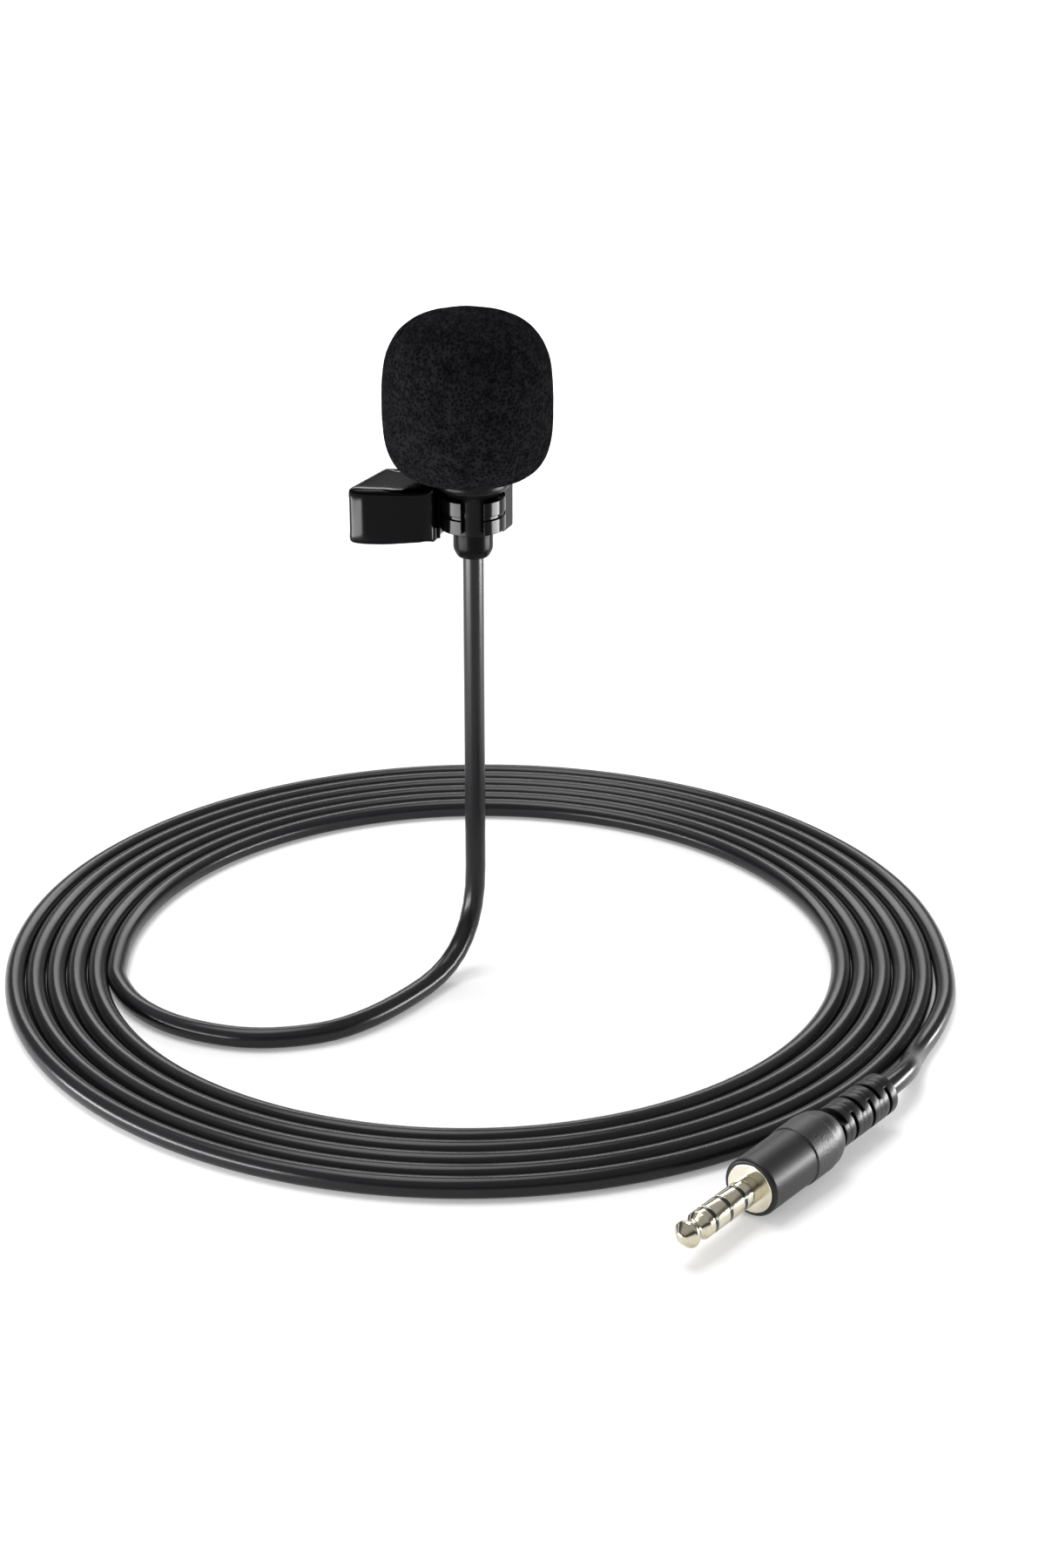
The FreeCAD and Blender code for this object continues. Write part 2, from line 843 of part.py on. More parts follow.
def make_sleeve():
    """Rearmost contact, with a thinner shank through the flange."""
    bore = core_r + len(layer_names) * layer_wall + snug / 2
    back = rod_end - (len(layer_names) + 1) * layer_step
    return spun(
        [
            (station, bore),
            (station, jack_r),
            (jack_length, jack_r),
            (jack_length, sleeve_shank_r),
            (back, sleeve_shank_r),
            (back, bore),
        ]
    )


save("plug_sleeve", make_sleeve())


def ring_on_plug(front, back, r_in, r_out):
    """Plain tube about the plug's axis."""
    return spun([(front, r_in), (front, r_out), (back, r_out), (back, r_in)])


core_sleeve_r = shell_front_r - shell_wall - slip
flange_back = jack_length + flange_t
save("plug_flange", ring_on_plug(jack_length, flange_back, sleeve_shank_r + snug, flange_r))
save(
    "plug_core_sleeve",
    ring_on_plug(flange_back, core_sleeve_end, core_sleeve_r - core_sleeve_wall, core_sleeve_r),
)


def make_shell():
    """Moulded grip: straight front, slightly wider rear that rounds off to the relief."""
    bore = shell_front_r - shell_wall
    neck = cord_r + snug
    return spun(
        [
            (shell_front, flange_r + snug),
            (shell_front, shell_front_r - shell_edge),
            (shell_front + shell_edge, shell_front_r),
            (shell_step, shell_front_r),
            (shell_step + shell_edge, shell_rear_r),
            (shell_taper, shell_rear_r),
            (shell_bend, shell_bend_r),
            (shell_shoulder, shell_shoulder_r),
            (shell_end, shell_end_r),
            (shell_end, neck),
            (shell_shoulder, neck),
            (shell_shoulder, shell_shoulder_r - shell_wall),
            (shell_taper, bore),
            (flange_back, bore),
            (flange_back, flange_r + snug),
        ]
    )


def make_plug_relief():
    """Rubber sleeve of discs on a slim neck, each web between two discs turned a quarter from the last."""
    bore = cord_r + snug
    sleeve = ring_on_plug(shell_end, plug_length, bore, disc_neck_r)
    for i in range(disc_count):
        start = shell_end + i * disc_pitch
        sleeve = sleeve.fuse(ring_on_plug(start + disc_gap, start + disc_pitch, bore, disc_r))
        wide, tall = (disc_web_w, 2 * disc_r) if i % 2 == 0 else (2 * disc_r, disc_web_w)
        web = Part.makeBox(disc_gap, wide, tall, V(start, -wide / 2, -tall / 2))
        web.Placement = plug_place * web.Placement
        sleeve = sleeve.fuse(web.common(ring_on_plug(start, start + disc_gap, bore, disc_r)))
    return sleeve.removeSplitter()


save("plug_shell", make_shell())
save("plug_strain_relief", make_plug_relief())
save("plug_jacket_end", ring_on_plug(plug_jacket_front, plug_length, 0, cord_r))
for i, (y, z) in enumerate(hole_ring(4, plug_wire_circle_r, math.pi / 4)):
    wire = Part.makeCylinder(plug_wire_r, plug_jacket_front - rod_end, V(rod_end, y, z), V(1, 0, 0))
    wire.Placement = plug_place
    save("plug_wire_%d" % (i + 1), wire)

plug_end = plug_tip + plug_along * plug_length
plug_lead_points = [
    on_floor(coil_outer_x, -coil_stub),
    on_floor(coil_outer_x, -10.5),
    beside_coil(0.6, -19.2),
    beside_coil(0.1, -28.4),
    plug_end + plug_along * 7.0,
    plug_end,
]
save("plug_lead", swept(cord_path(plug_lead_points), cord_d))
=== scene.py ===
"""Lavalier microphone: the finished look of the foam-covered microphone, its garment clip, and the cord that
lies on the surface below as a flat spiral and ends in a four-contact plug.

Metres, +Z up. The origin is the middle of the clip's grip.
"""

import math

import bmesh
import bpy
from mathutils import Matrix, Vector, noise


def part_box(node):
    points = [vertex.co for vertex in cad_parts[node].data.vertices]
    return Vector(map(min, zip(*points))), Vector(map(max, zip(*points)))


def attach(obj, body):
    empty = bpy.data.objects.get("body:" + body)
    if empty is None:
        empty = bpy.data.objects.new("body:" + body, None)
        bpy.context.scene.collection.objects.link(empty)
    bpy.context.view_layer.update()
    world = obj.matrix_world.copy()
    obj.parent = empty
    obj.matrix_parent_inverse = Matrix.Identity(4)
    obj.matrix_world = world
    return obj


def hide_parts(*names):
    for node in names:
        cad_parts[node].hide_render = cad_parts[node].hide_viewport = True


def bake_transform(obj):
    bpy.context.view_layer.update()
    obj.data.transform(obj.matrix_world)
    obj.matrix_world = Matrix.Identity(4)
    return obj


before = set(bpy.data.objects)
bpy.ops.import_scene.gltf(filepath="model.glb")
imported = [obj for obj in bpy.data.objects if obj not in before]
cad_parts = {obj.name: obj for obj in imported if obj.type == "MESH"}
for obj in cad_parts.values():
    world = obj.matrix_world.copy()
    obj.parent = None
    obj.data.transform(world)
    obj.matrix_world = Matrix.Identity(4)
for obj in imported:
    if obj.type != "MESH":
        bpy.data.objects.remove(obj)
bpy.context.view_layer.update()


# Camera
# In front of the clip and a little above it, looking down at 23 degrees, so that the spiral on the surface
# below shows as a flat oval.

mm = 0.001
downward = 23.05

camera = bpy.data.objects.new("camera", bpy.data.cameras.new("camera"))
bpy.context.collection.objects.link(camera)
camera.data.sensor_width = 36
camera.data.lens = 62.916
camera.location = Vector((3.307, -351.845, 107.827)) * mm
camera.rotation_euler = (math.radians(90 - downward), 0, 0)
bpy.context.scene.camera = camera


# Cord
# A 2.8 mm round lead in soft black PVC. It hangs from the microphone, runs along the surface to the front
# left and round into a flat spiral of touching turns, and comes out of the outermost one to the plug.

microphone_axis = Vector((-3.2, -6.9))
surface = -65.8
cord_thickness = 2.8
cord_height = surface + cord_thickness / 2

cord_points = [
    (-3.2, -6.9, -5.4),
    (-3.2, -6.9, -38.2),
    (-3.2, -6.9, cord_height),
    (-17.2, -29.0, cord_height),
    (-30.3, -33.5, cord_height),
    (-41.7, -30.2, cord_height),
    (-48.8, -23.9, cord_height),
    (-52.35, -16.5, cord_height),
    (-53.13, -12.0, cord_height),
]

spiral_start = 49.73
spiral_middle = Vector((-3.4, -6.9))
spiral_turns = 5.5
points_per_turn = 24
for i in range(int(spiral_turns * points_per_turn)):
    turned_by = 2 * math.pi * (i + 0.5) / points_per_turn
    reach = (spiral_start + cord_thickness * turned_by / (2 * math.pi)) / math.cos(math.pi / points_per_turn)
    cord_points.append(
        (
            spiral_middle.x - reach * math.cos(turned_by),
            spiral_middle.y + reach * math.sin(turned_by),
            cord_height,
        )
    )

plug_heading = math.radians(51.46)
plug_tip = Vector((21.2487, -85.2557, -61.95))
plug_along = Vector((math.cos(plug_heading), math.sin(plug_heading), 0))
plug_length = 42.78
plug_back_end = plug_tip + plug_along * plug_length
straight_before_plug = 7.0
sunk_in_plug = 0.6
cord_points += [
    (61.73, -17.4, cord_height),
    (58.67, -28.52, cord_height),
    (53.98, -37.93, cord_height),
    tuple(plug_back_end + plug_along * straight_before_plug),
    tuple(plug_back_end - plug_along * sunk_in_plug),
]

hair_under_half = 0.498  # so that touching turns share no surface

cord_curve = bpy.data.curves.new("cord", "CURVE")
cord_curve.dimensions = "3D"
cord_line = cord_curve.splines.new("NURBS")
cord_line.points.add(len(cord_points) - 1)
for point, place in zip(cord_line.points, cord_points):
    point.co = (*(Vector(place) * mm), 1)
cord_line.order_u = 3
cord_line.use_endpoint_u = True
cord_line.resolution_u = 8
cord_curve.bevel_depth = hair_under_half * cord_thickness * mm
cord_curve.bevel_resolution = 5
cord_curve.use_fill_caps = True
cord = bpy.data.objects.new("cord", cord_curve)
bpy.context.collection.objects.link(cord)


def linear(code):
    """Linear colour from an sRGB hex code."""
    parts = [int(code[i : i + 2], 16) / 255 for i in (1, 3, 5)]
    return tuple(p / 12.92 if p <= 0.04045 else ((p + 0.055) / 1.055) ** 2.4 for p in parts) + (1,)


def add(tree, kind, settings=None, inputs=None):
    """Adds a node with its settings, and its inputs as plain values or as other nodes' outputs."""
    node = tree.nodes.new(kind)
    for name, value in (settings or {}).items():
        setattr(node, name, value)
    for key, value in (inputs or {}).items():
        if isinstance(value, bpy.types.NodeSocket):
            tree.links.new(value, node.inputs[key])
        else:
            node.inputs[key].default_value = value
    return node


def material(name, **values):
    """New material on one physically based shader with the given uniform values."""
    made = bpy.data.materials.new(name)
    made.use_nodes = True
    tree = made.node_tree
    tree.nodes.clear()
    shader = add(tree, "ShaderNodeBsdfPrincipled")
    for key, value in values.items():
        shader.inputs[key.replace("_", " ")].default_value = value
    add(tree, "ShaderNodeOutputMaterial", None, {"Surface": shader.outputs[0]})
    return made, tree, shader


def toned(tree, shader, tone, dark, light, relief=None, depth=0.0):
    """Colours a shader from dark to light by one pattern, and raises it by another, depth in millimetres."""
    colours = {"Factor": tone, "A": linear(dark), "B": linear(light)}
    tint = add(tree, "ShaderNodeMix", {"data_type": "RGBA"}, colours)
    tree.links.new(tint.outputs["Result"], shader.inputs["Base Color"])
    if relief is not None:
        bump = add(tree, "ShaderNodeBump", None, {"Height": relief, "Distance": depth * mm, "Strength": 1.0})
        tree.links.new(bump.outputs["Normal"], shader.inputs["Normal"])


def grained(name, dark, light, patch, grain, depth, **values):
    """Moulded or drawn finish: slow colour patches and a fine grain, both sized in millimetres."""
    made, tree, shader = material(name, **values)
    place = add(tree, "ShaderNodeTexCoord").outputs["Object"]
    slow = add(tree, "ShaderNodeTexNoise", None, {"Vector": place, "Scale": 1 / (patch * mm), "Detail": 3.0})
    fine = add(tree, "ShaderNodeTexNoise", None, {"Vector": place, "Scale": 1 / (grain * mm), "Detail": 2.0})
    toned(tree, shader, slow.outputs["Fac"], dark, light, fine.outputs["Fac"], depth)
    return made


# Soft PVC extruded over the conductors: a satin skin with a faint ripple, 1.2 mm long, that breaks up the
# long light lines along the turns.
cord_pvc = grained(
    "soft PVC, extruded",
    "#121214",
    "#19191b",
    patch=9.0,
    grain=1.2,
    depth=0.004,
    Roughness=0.25,
    Specular_IOR_Level=0.26,
)
cord_curve.materials.append(cord_pvc)


# Foam windscreen
# A ball of charcoal open-cell polyurethane, moulded with a domed top and a flatter base, and bored so that it
# pushes over the microphone's head.

upright = Matrix.Translation((microphone_axis.x, microphone_axis.y, 0))
foam_radius = 11.1
foam_top = 26.5
foam_waist = 15.0
foam_bottom = 4.3
foam_bore = 5.05
foam_bore_top = 18.0
foam_shift = -0.6
foam_lip = 0.1
mouth_depth = 0.5
dome_squareness = 2.86
base_squareness = 3.6
outline_points = 110
around = 340


def foam_outline(height, power, first, last):
    """Part of a rounded-square outline, from one share of its quarter to another."""
    points = []
    for i in range(outline_points):
        angle = math.pi / 2 * (first + (last - first) * i / (outline_points - 1))
        radius = foam_radius * max(0.0, math.cos(angle)) ** (2 / power)
        points.append((radius, foam_waist + height * math.sin(angle) ** (2 / power)))
    return points


foam_dome = foam_outline(foam_top - foam_waist, dome_squareness, 0, 1)
foam_base = [
    (radius, height)
    for radius, height in foam_outline(foam_bottom - foam_waist, base_squareness, 1, 0)
    if radius > foam_bore - foam_shift + foam_lip
]
shape = bmesh.new()
rings = []
outer = foam_base + foam_dome[1:-1]
for k in range(around):
    angle = 2 * math.pi * k / around
    ring = []
    for radius, height in outer:
        x, y = foam_shift + radius * math.cos(angle), radius * math.sin(angle)
        ring.append(shape.verts.new((x, y, height)))
    rings.append(ring)
crown = shape.verts.new((foam_shift, 0, foam_top))
mouth = []
bore_end = []
for k in range(around):
    angle = 2 * math.pi * k / around
    x, y = foam_bore * math.cos(angle), foam_bore * math.sin(angle)
    mouth.append(shape.verts.new((x, y, outer[0][1] + mouth_depth)))
    bore_end.append(shape.verts.new((x, y, foam_bore_top)))
ceiling = shape.verts.new((0, 0, foam_bore_top))
for k in range(around):
    low, high = rings[k - 1], rings[k]
    for i in range(len(outer) - 1):
        shape.faces.new((low[i], high[i], high[i + 1], low[i + 1]))
    shape.faces.new((low[-1], high[-1], crown))
    shape.faces.new((mouth[k - 1], mouth[k], high[0], low[0]))
    shape.faces.new((bore_end[k - 1], bore_end[k], mouth[k], mouth[k - 1]))
    shape.faces.new((ceiling, bore_end[k], bore_end[k - 1]))
bmesh.ops.recalc_face_normals(shape, faces=shape.faces)
shape.normal_update()
pore_spacing = 0.62
pore_reach = 0.62  # share of the spacing over which a pore rises to the skin
pore_depth = 0.13
lump_size = 2.4
lump_height = 0.055
for vert in [v for ring in rings for v in ring]:
    distances = noise.voronoi(vert.co / pore_spacing)[0]
    rim = min(1.0, distances[0] / pore_reach)
    lump = noise.noise(vert.co / lump_size)
    vert.co += vert.normal * (lump_height * lump - pore_depth * (1 - rim) ** 2)
bmesh.ops.transform(shape, matrix=Matrix.Scale(mm, 4) @ upright, verts=shape.verts)

# Reticulated polyurethane foam, dyed charcoal: matt struts round pores about 0.4 mm wide, whose darkness is
# painted shade inside the holes, with slow mottling where the cells lie closer.
foam_look, tree, shader = material("polyurethane foam, dyed", Roughness=0.95, Specular_IOR_Level=0.0)
place = add(tree, "ShaderNodeTexCoord").outputs["Object"]
pores = add(tree, "ShaderNodeTexVoronoi", None, {"Vector": place, "Scale": 1 / (0.42 * mm)})
mottling = add(tree, "ShaderNodeTexNoise", None, {"Vector": place, "Scale": 1 / (1.6 * mm), "Detail": 4.0})
pore_shade_and_mottling = add(
    tree,
    "ShaderNodeMath",
    {"operation": "MULTIPLY"},
    {0: pores.outputs["Distance"], 1: mottling.outputs["Fac"]},
)
# Painted shade: the colour darkens towards each pore's middle, where shade falls inside the hole; the
# mottling scales it.
painted_pore_shade = add(tree, "ShaderNodeValToRGB", None, {"Fac": pore_shade_and_mottling.outputs[0]})
painted_pore_shade.color_ramp.elements[0].position = 0.04
painted_pore_shade.color_ramp.elements[0].color = linear("#060607")
painted_pore_shade.color_ramp.elements[1].position = 0.42
painted_pore_shade.color_ramp.elements[1].color = linear("#212123")
tree.links.new(painted_pore_shade.outputs["Color"], shader.inputs["Base Color"])
bump = add(
    tree,
    "ShaderNodeBump",
    None,
    {"Height": pores.outputs["Distance"], "Distance": 0.12 * mm, "Strength": 0.9},
)
tree.links.new(bump.outputs["Normal"], shader.inputs["Normal"])


def piece(name, shape, look, sharp=40):
    """Object at the origin from a mesh in the making, shaded smooth except over sharp edges."""
    mesh = bpy.data.meshes.new(name)
    shape.to_mesh(mesh)
    shape.free()
    for face in mesh.polygons:
        face.use_smooth = True
    mesh.set_sharp_from_angle(angle=math.radians(sharp))
    mesh.materials.append(look)
    made = bpy.data.objects.new(name, mesh)
    bpy.context.collection.objects.link(made)
    return made


windscreen = piece("windscreen", shape, foam_look, sharp=180)
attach(windscreen, "windscreen")
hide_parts("foam_windscreen")


# Microphone housing and grille
# A turned aluminium shell, black anodised: a neck that snaps into the ring, a cone and the wider head. A
# perforated cap plugs the head over a disc of felt.


def rounded(corners, steps=6):
    """Closed outline through (a, b, radius) corners, each turned by a small curve."""
    most_of_half = 0.96  # of an edge, so that the curves at its two ends stay apart
    outline = []
    for i, (a, b, radius) in enumerate(corners):
        here = Vector((a, b))
        if radius == 0:
            outline.append(here)
            continue
        before = Vector(corners[i - 1][:2]) - here
        after = Vector(corners[(i + 1) % len(corners)][:2]) - here
        cut = min(radius, most_of_half * before.length / 2, most_of_half * after.length / 2)
        start = here + before.normalized() * cut
        end = here + after.normalized() * cut
        for k in range(steps + 1):
            t = k / steps
            outline.append(start * (1 - t) ** 2 + here * 2 * t * (1 - t) + end * t**2)
    return outline


def turned(name, outline, place, look, steps=96):
    """Turns a closed (radius, height) outline in millimetres about the place's own upright axis."""
    shape = bmesh.new()
    rings = []
    for k in range(steps):
        angle = 2 * math.pi * k / steps
        rings.append([shape.verts.new((r * math.cos(angle), r * math.sin(angle), z)) for r, z in outline])
    for k in range(steps):
        for i in range(len(outline)):
            j = (i + 1) % len(outline)
            shape.faces.new((rings[k - 1][i], rings[k][i], rings[k][j], rings[k - 1][j]))
    on_the_axis = 0.0005
    bmesh.ops.remove_doubles(shape, verts=shape.verts, dist=on_the_axis)
    bmesh.ops.recalc_face_normals(shape, faces=shape.faces)
    bmesh.ops.transform(shape, matrix=Matrix.Scale(mm, 4) @ place, verts=shape.verts)
    made = piece(name, shape, look)
    flat = made.modifiers.new("flat faces stay flat", "WEIGHTED_NORMAL")
    flat.keep_sharp = True
    return made


def lathe_lined(tree, shader, place, scale, dark, light, depth):
    """Fine lines that the lathe leaves: a noise drawn out round the piece tints and grooves it."""
    drawn_out = add(tree, "ShaderNodeMapping", None, {"Vector": place, "Scale": scale})
    lines = add(
        tree,
        "ShaderNodeTexNoise",
        None,
        {"Vector": drawn_out.outputs[0], "Scale": 1.0, "Detail": 2.0},
    )
    toned(tree, shader, lines.outputs["Fac"], dark, light, lines.outputs["Fac"], depth)


# Turned and black anodised: satin, with lathe lines 0.1 mm apart.
anodised, tree, shader = material(
    "aluminium, turned and black anodised", Roughness=0.3, Specular_IOR_Level=0.12
)
place = add(tree, "ShaderNodeTexCoord").outputs["Object"]
lathe_lined(tree, shader, place, (60, 60, 9000), "#060607", "#0e0e10", depth=0.004)

housing = turned(
    "housing",
    rounded(
        [
            (2.2, -2.6, 0.1),
            (3.3, -2.6, 0.12),
            (3.3, 2.35, 0.4),
            (4.9, 3.6, 0.4),
            (4.9, 17.0, 0.05),
            (4.1, 17.0, 0.05),
            (4.1, 4.6, 0.2),
            (2.2, 3.65, 0.2),
        ]
    ),
    upright,
    anodised,
)
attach(housing, "microphone")
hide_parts("mic_housing")


def settled(held):
    """Plain mesh of an object with its modifiers applied."""
    bpy.context.view_layer.update()
    return bpy.data.meshes.new_from_object(held.evaluated_get(bpy.context.evaluated_depsgraph_get()))


def grown(name, tree, values, look, base=None, edge=0.0):
    """Plain mesh from a geometry tree: its inputs set by name, then a small bevel where one is wanted."""
    values = {**values, "Finish": look}
    made = bpy.data.objects.new(name, base or bpy.data.meshes.new(name))
    bpy.context.collection.objects.link(made)
    growth = made.modifiers.new(name, "NODES")
    growth.node_group = tree
    for socket in tree.interface.items_tree:
        if socket.in_out == "INPUT" and socket.name in values:
            growth[socket.identifier] = values[socket.name]
    if edge:
        bevel = made.modifiers.new("soft edges", "BEVEL")
        bevel.width = edge
        bevel.segments = 3
        bevel.limit_method = "ANGLE"
        bevel.angle_limit = math.radians(40)
    result = settled(made)
    made.modifiers.clear()
    made.data = result
    for face in result.polygons:
        face.use_smooth = True
    result.set_sharp_from_angle(angle=math.radians(40))
    if not result.materials:
        result.materials.append(look)
    return made


def tree_with(name, numbers):
    """Empty geometry tree with named number inputs, and a material input."""
    tree = bpy.data.node_groups.new(name, "GeometryNodeTree")
    tree.interface.new_socket(name="Geometry", in_out="INPUT", socket_type="NodeSocketGeometry")
    for number in numbers:
        tree.interface.new_socket(name=number, in_out="INPUT", socket_type="NodeSocketFloat")
    tree.interface.new_socket(name="Finish", in_out="INPUT", socket_type="NodeSocketMaterial")
    tree.interface.new_socket(name="Geometry", in_out="OUTPUT", socket_type="NodeSocketGeometry")
    return tree, add(tree, "NodeGroupInput")


def end_tree(tree, inputs, geometry):
    """Ends a geometry tree: what it copies is made real and gets its finish."""
    whole = add(tree, "GeometryNodeRealizeInstances", None, {"Geometry": geometry})
    parts = {"Geometry": whole.outputs[0], "Material": inputs.outputs["Finish"]}
    finished = add(tree, "GeometryNodeSetMaterial", None, parts)
    add(tree, "NodeGroupOutput", None, {0: finished.outputs[0]})


cap = turned(
    "cap_blank",
    rounded(
        [
            (0, 17.7, 0),
            (4.9, 17.7, 0.3),
            (4.9, 17.0, 0.05),
            (4.05, 17.0, 0.05),
            (4.05, 16.2, 0.05),
            (3.4, 16.2, 0.05),
            (3.4, 17.0, 0),
            (0, 17.0, 0),
        ]
    ),
    upright,
    anodised,
)
tree, inputs = tree_with("grille perforations", ["Hole radius", "Hole spacing"])
spacing = inputs.outputs["Hole spacing"]
wide = add(tree, "ShaderNodeMath", {"operation": "MULTIPLY"}, {0: spacing, 1: 2.0})
inner_circle = add(tree, "GeometryNodeMeshCircle", None, {"Vertices": 6, "Radius": spacing})
outer_circle = add(tree, "GeometryNodeMeshCircle", None, {"Vertices": 12, "Radius": wide.outputs[0]})
quarter_step = add(
    tree,
    "GeometryNodeTransform",
    None,
    {"Geometry": outer_circle.outputs[0], "Rotation": (0, 0, math.pi / 12)},
)
middle = add(tree, "GeometryNodeMeshLine", None, {"Count": 1})
places = add(tree, "GeometryNodeJoinGeometry")
for source in (inner_circle, quarter_step, middle):
    tree.links.new(source.outputs[0], places.inputs[0])
drill = add(
    tree,
    "GeometryNodeMeshCylinder",
    None,
    {"Vertices": 20, "Radius": inputs.outputs["Hole radius"], "Depth": 4 * mm},
)
drills = add(
    tree,
    "GeometryNodeInstanceOnPoints",
    None,
    {"Points": places.outputs[0], "Instance": drill.outputs[0]},
)
cap_middle = (microphone_axis.x * mm, microphone_axis.y * mm, 17.3 * mm)
over_cap = add(
    tree,
    "GeometryNodeTransform",
    None,
    {"Geometry": drills.outputs[0], "Translation": cap_middle},
)
solid_drills = add(tree, "GeometryNodeRealizeInstances", None, {"Geometry": over_cap.outputs[0]})
drilled = add(
    tree,
    "GeometryNodeMeshBoolean",
    {"operation": "DIFFERENCE"},
    {"Mesh 1": inputs.outputs["Geometry"], "Mesh 2": solid_drills.outputs[0]},
)
end_tree(tree, inputs, drilled.outputs[0])
cap.modifiers.clear()
hole_sizes = {"Hole radius": 0.38 * mm, "Hole spacing": 1.45 * mm}
grille = grown("grille", tree, hole_sizes, anodised, base=cap.data)
bpy.data.objects.remove(cap)
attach(grille, "microphone")
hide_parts("grille_cap")


# Capsule and its wiring
# An electret capsule in a rubber boot: aluminium can, gold-coated film on its brass ring, spacer, drilled
# backplate in an insulating collar, contact ring, and a small board with its transistor and two conductors.


def dress(look, *nodes):
    """Gives CAD pieces whose shape is right their finish."""
    for node in nodes:
        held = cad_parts[node]
        held.data.materials.clear()
        held.data.materials.append(look)


# Pressed wool felt: black fibres about 0.1 mm across, dull.
felt = grained(
    "wool felt, pressed",
    "#0e0e0f",
    "#222224",
    patch=0.35,
    grain=0.1,
    depth=0.05,
    Roughness=0.98,
    Specular_IOR_Level=0.1,
)
dress(felt, "grille_felt")

# Moulded silicone rubber: dead matt.
boot_rubber = grained(
    "silicone rubber, moulded",
    "#101011",
    "#18181a",
    patch=2.0,
    grain=0.2,
    depth=0.01,
    Roughness=0.7,
    IOR=1.42,
)
dress(boot_rubber, "capsule_boot")

# Drawn aluminium: bright with faint drawing marks.
can_metal = grained(
    "aluminium, drawn", "#b9bbbf", "#d2d4d7", patch=1.2, grain=0.15, depth=0.002, Roughness=0.32, Metallic=1.0
)
dress(can_metal, "capsule_can")

# Stamped brass: warm, slightly worn between bright and dull.
brass = grained(
    "brass, stamped", "#b08d4e", "#cfae6c", patch=1.0, grain=0.15, depth=0.002, Roughness=0.3, Metallic=1.0
)
dress(brass, "diaphragm_ring", "backplate", "contact_ring", "cord_ferrule")

# Polyester film with a vapour-thin gold layer: smooth and shiny.
film = grained(
    "polyester film, metallised",
    "#c9a765",
    "#d8b877",
    patch=1.5,
    grain=0.6,
    depth=0.001,
    Roughness=0.12,
    Metallic=1.0,
)
dress(film, "diaphragm")

# Acetal, turned: waxy off-white.
acetal = grained(
    "acetal, turned", "#d9d7cf", "#e6e4dc", patch=1.5, grain=0.2, depth=0.004, Roughness=0.42, IOR=1.48
)
dress(acetal, "diaphragm_spacer", "insulating_collar", "plug_core_sleeve")

# Glass-cloth laminate under green lacquer: the cloth's 0.4 mm weave shows through.
laminate = grained(
    "glass-cloth laminate, lacquered",
    "#123d22",
    "#1c5230",
    patch=0.4,
    grain=0.4,
    depth=0.004,
    Roughness=0.28,
    IOR=1.52,
)
dress(laminate, "fet_board")

# Moulded epoxy: dark grey with a fine sandy skin.
epoxy = grained(
    "epoxy, transfer moulded",
    "#121213",
    "#1b1b1c",
    patch=0.5,
    grain=0.08,
    depth=0.005,
    Roughness=0.5,
    IOR=1.55,
)
dress(epoxy, "fet_chip")

# Extruded PVC over fine copper strands: red and blue, satin.
for colour, dark, light, wires in [
    ("red", "#8d1714", "#a3211c", ("signal_wire", "plug_wire_1", "plug_wire_3")),
    ("blue", "#17357c", "#20448f", ("shield_wire", "plug_wire_2", "plug_wire_4")),
]:
    wire_pvc = grained(
        f"conductor PVC, extruded, {colour}", dark, light, patch=1.5, grain=0.1, depth=0.002, Roughness=0.38
    )
    dress(wire_pvc, *wires)

dress(cord_pvc, "mic_jacket_end", "plug_jacket_end")


# Strain relief under the housing
# A soft rubber sleeve, moulded on the cord: a collar that butts against the neck and a cone down to the cord.

# Moulded thermoplastic rubber, smooth from the mould: black, with a soft sheen.
smooth_rubber = grained(
    "thermoplastic rubber, smooth",
    "#070708",
    "#0c0c0d",
    patch=3.0,
    grain=0.25,
    depth=0.006,
    Roughness=0.26,
    Specular_IOR_Level=0.06,
)
relief = turned(
    "relief",
    rounded(
        [
            (1.42, -6.1, 0.1),
            (2.1, -6.1, 0.3),
            (2.65, -5.0, 0.35),
            (2.65, -2.62, 0.15),
            (2.15, -2.62, 0.02),
            (2.15, 1.5, 0.1),
            (1.42, 1.5, 0.1),
        ]
    ),
    upright,
    smooth_rubber,
)
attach(relief, "microphone")
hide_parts("mic_strain_relief")


# Snap ring and its rivet
# An open ring of glossy black enamelled steel that grips the neck, with a fine groove round it and a mouth in
# front. The boss behind it sits in the front jaw's slot, held by a rivet.

merge_gap = 0.002


def softened(name, node, look, width, segments=3):
    """Copy of a CAD piece with its facets merged and its edges eased by the given millimetres."""
    shape = bmesh.new()
    shape.from_mesh(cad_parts[node].data)
    bmesh.ops.remove_doubles(shape, verts=shape.verts, dist=merge_gap * mm)
    bmesh.ops.dissolve_limit(
        shape,
        angle_limit=math.radians(1),
        use_dissolve_boundaries=False,
        verts=shape.verts,
        edges=shape.edges,
        delimit=set(),
    )
    made = piece(name, shape, look, sharp=35)
    bevel = made.modifiers.new("eased edges", "BEVEL")
    bevel.width = width * mm
    bevel.segments = segments
    bevel.limit_method = "ANGLE"
    bevel.angle_limit = math.radians(35)
    bevel.use_clamp_overlap = True
    bevel.harden_normals = True
    return made


# Enamelled steel: deep gloss black with a very slight ripple.
enamel = grained(
    "steel, black enamelled",
    "#040405",
    "#070708",
    patch=5.0,
    grain=0.9,
    depth=0.003,
    Roughness=0.16,
    Specular_IOR_Level=0.09,
)
ring = softened("ring", "snap_ring", enamel, 0.18)
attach(ring, "clip")
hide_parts("snap_ring")

# Nickel-plated steel: bright, with fine brushing.
nickel = grained(
    "steel, nickel plated",
    "#a9aaad",
    "#c2c3c6",
    patch=1.5,
    grain=0.12,
    depth=0.002,
    Roughness=0.24,
    Metallic=1.0,
)
rivet = softened("rivet", "ring_rivet", nickel, 0.08)
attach(rivet, "clip")
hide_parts("ring_rivet")


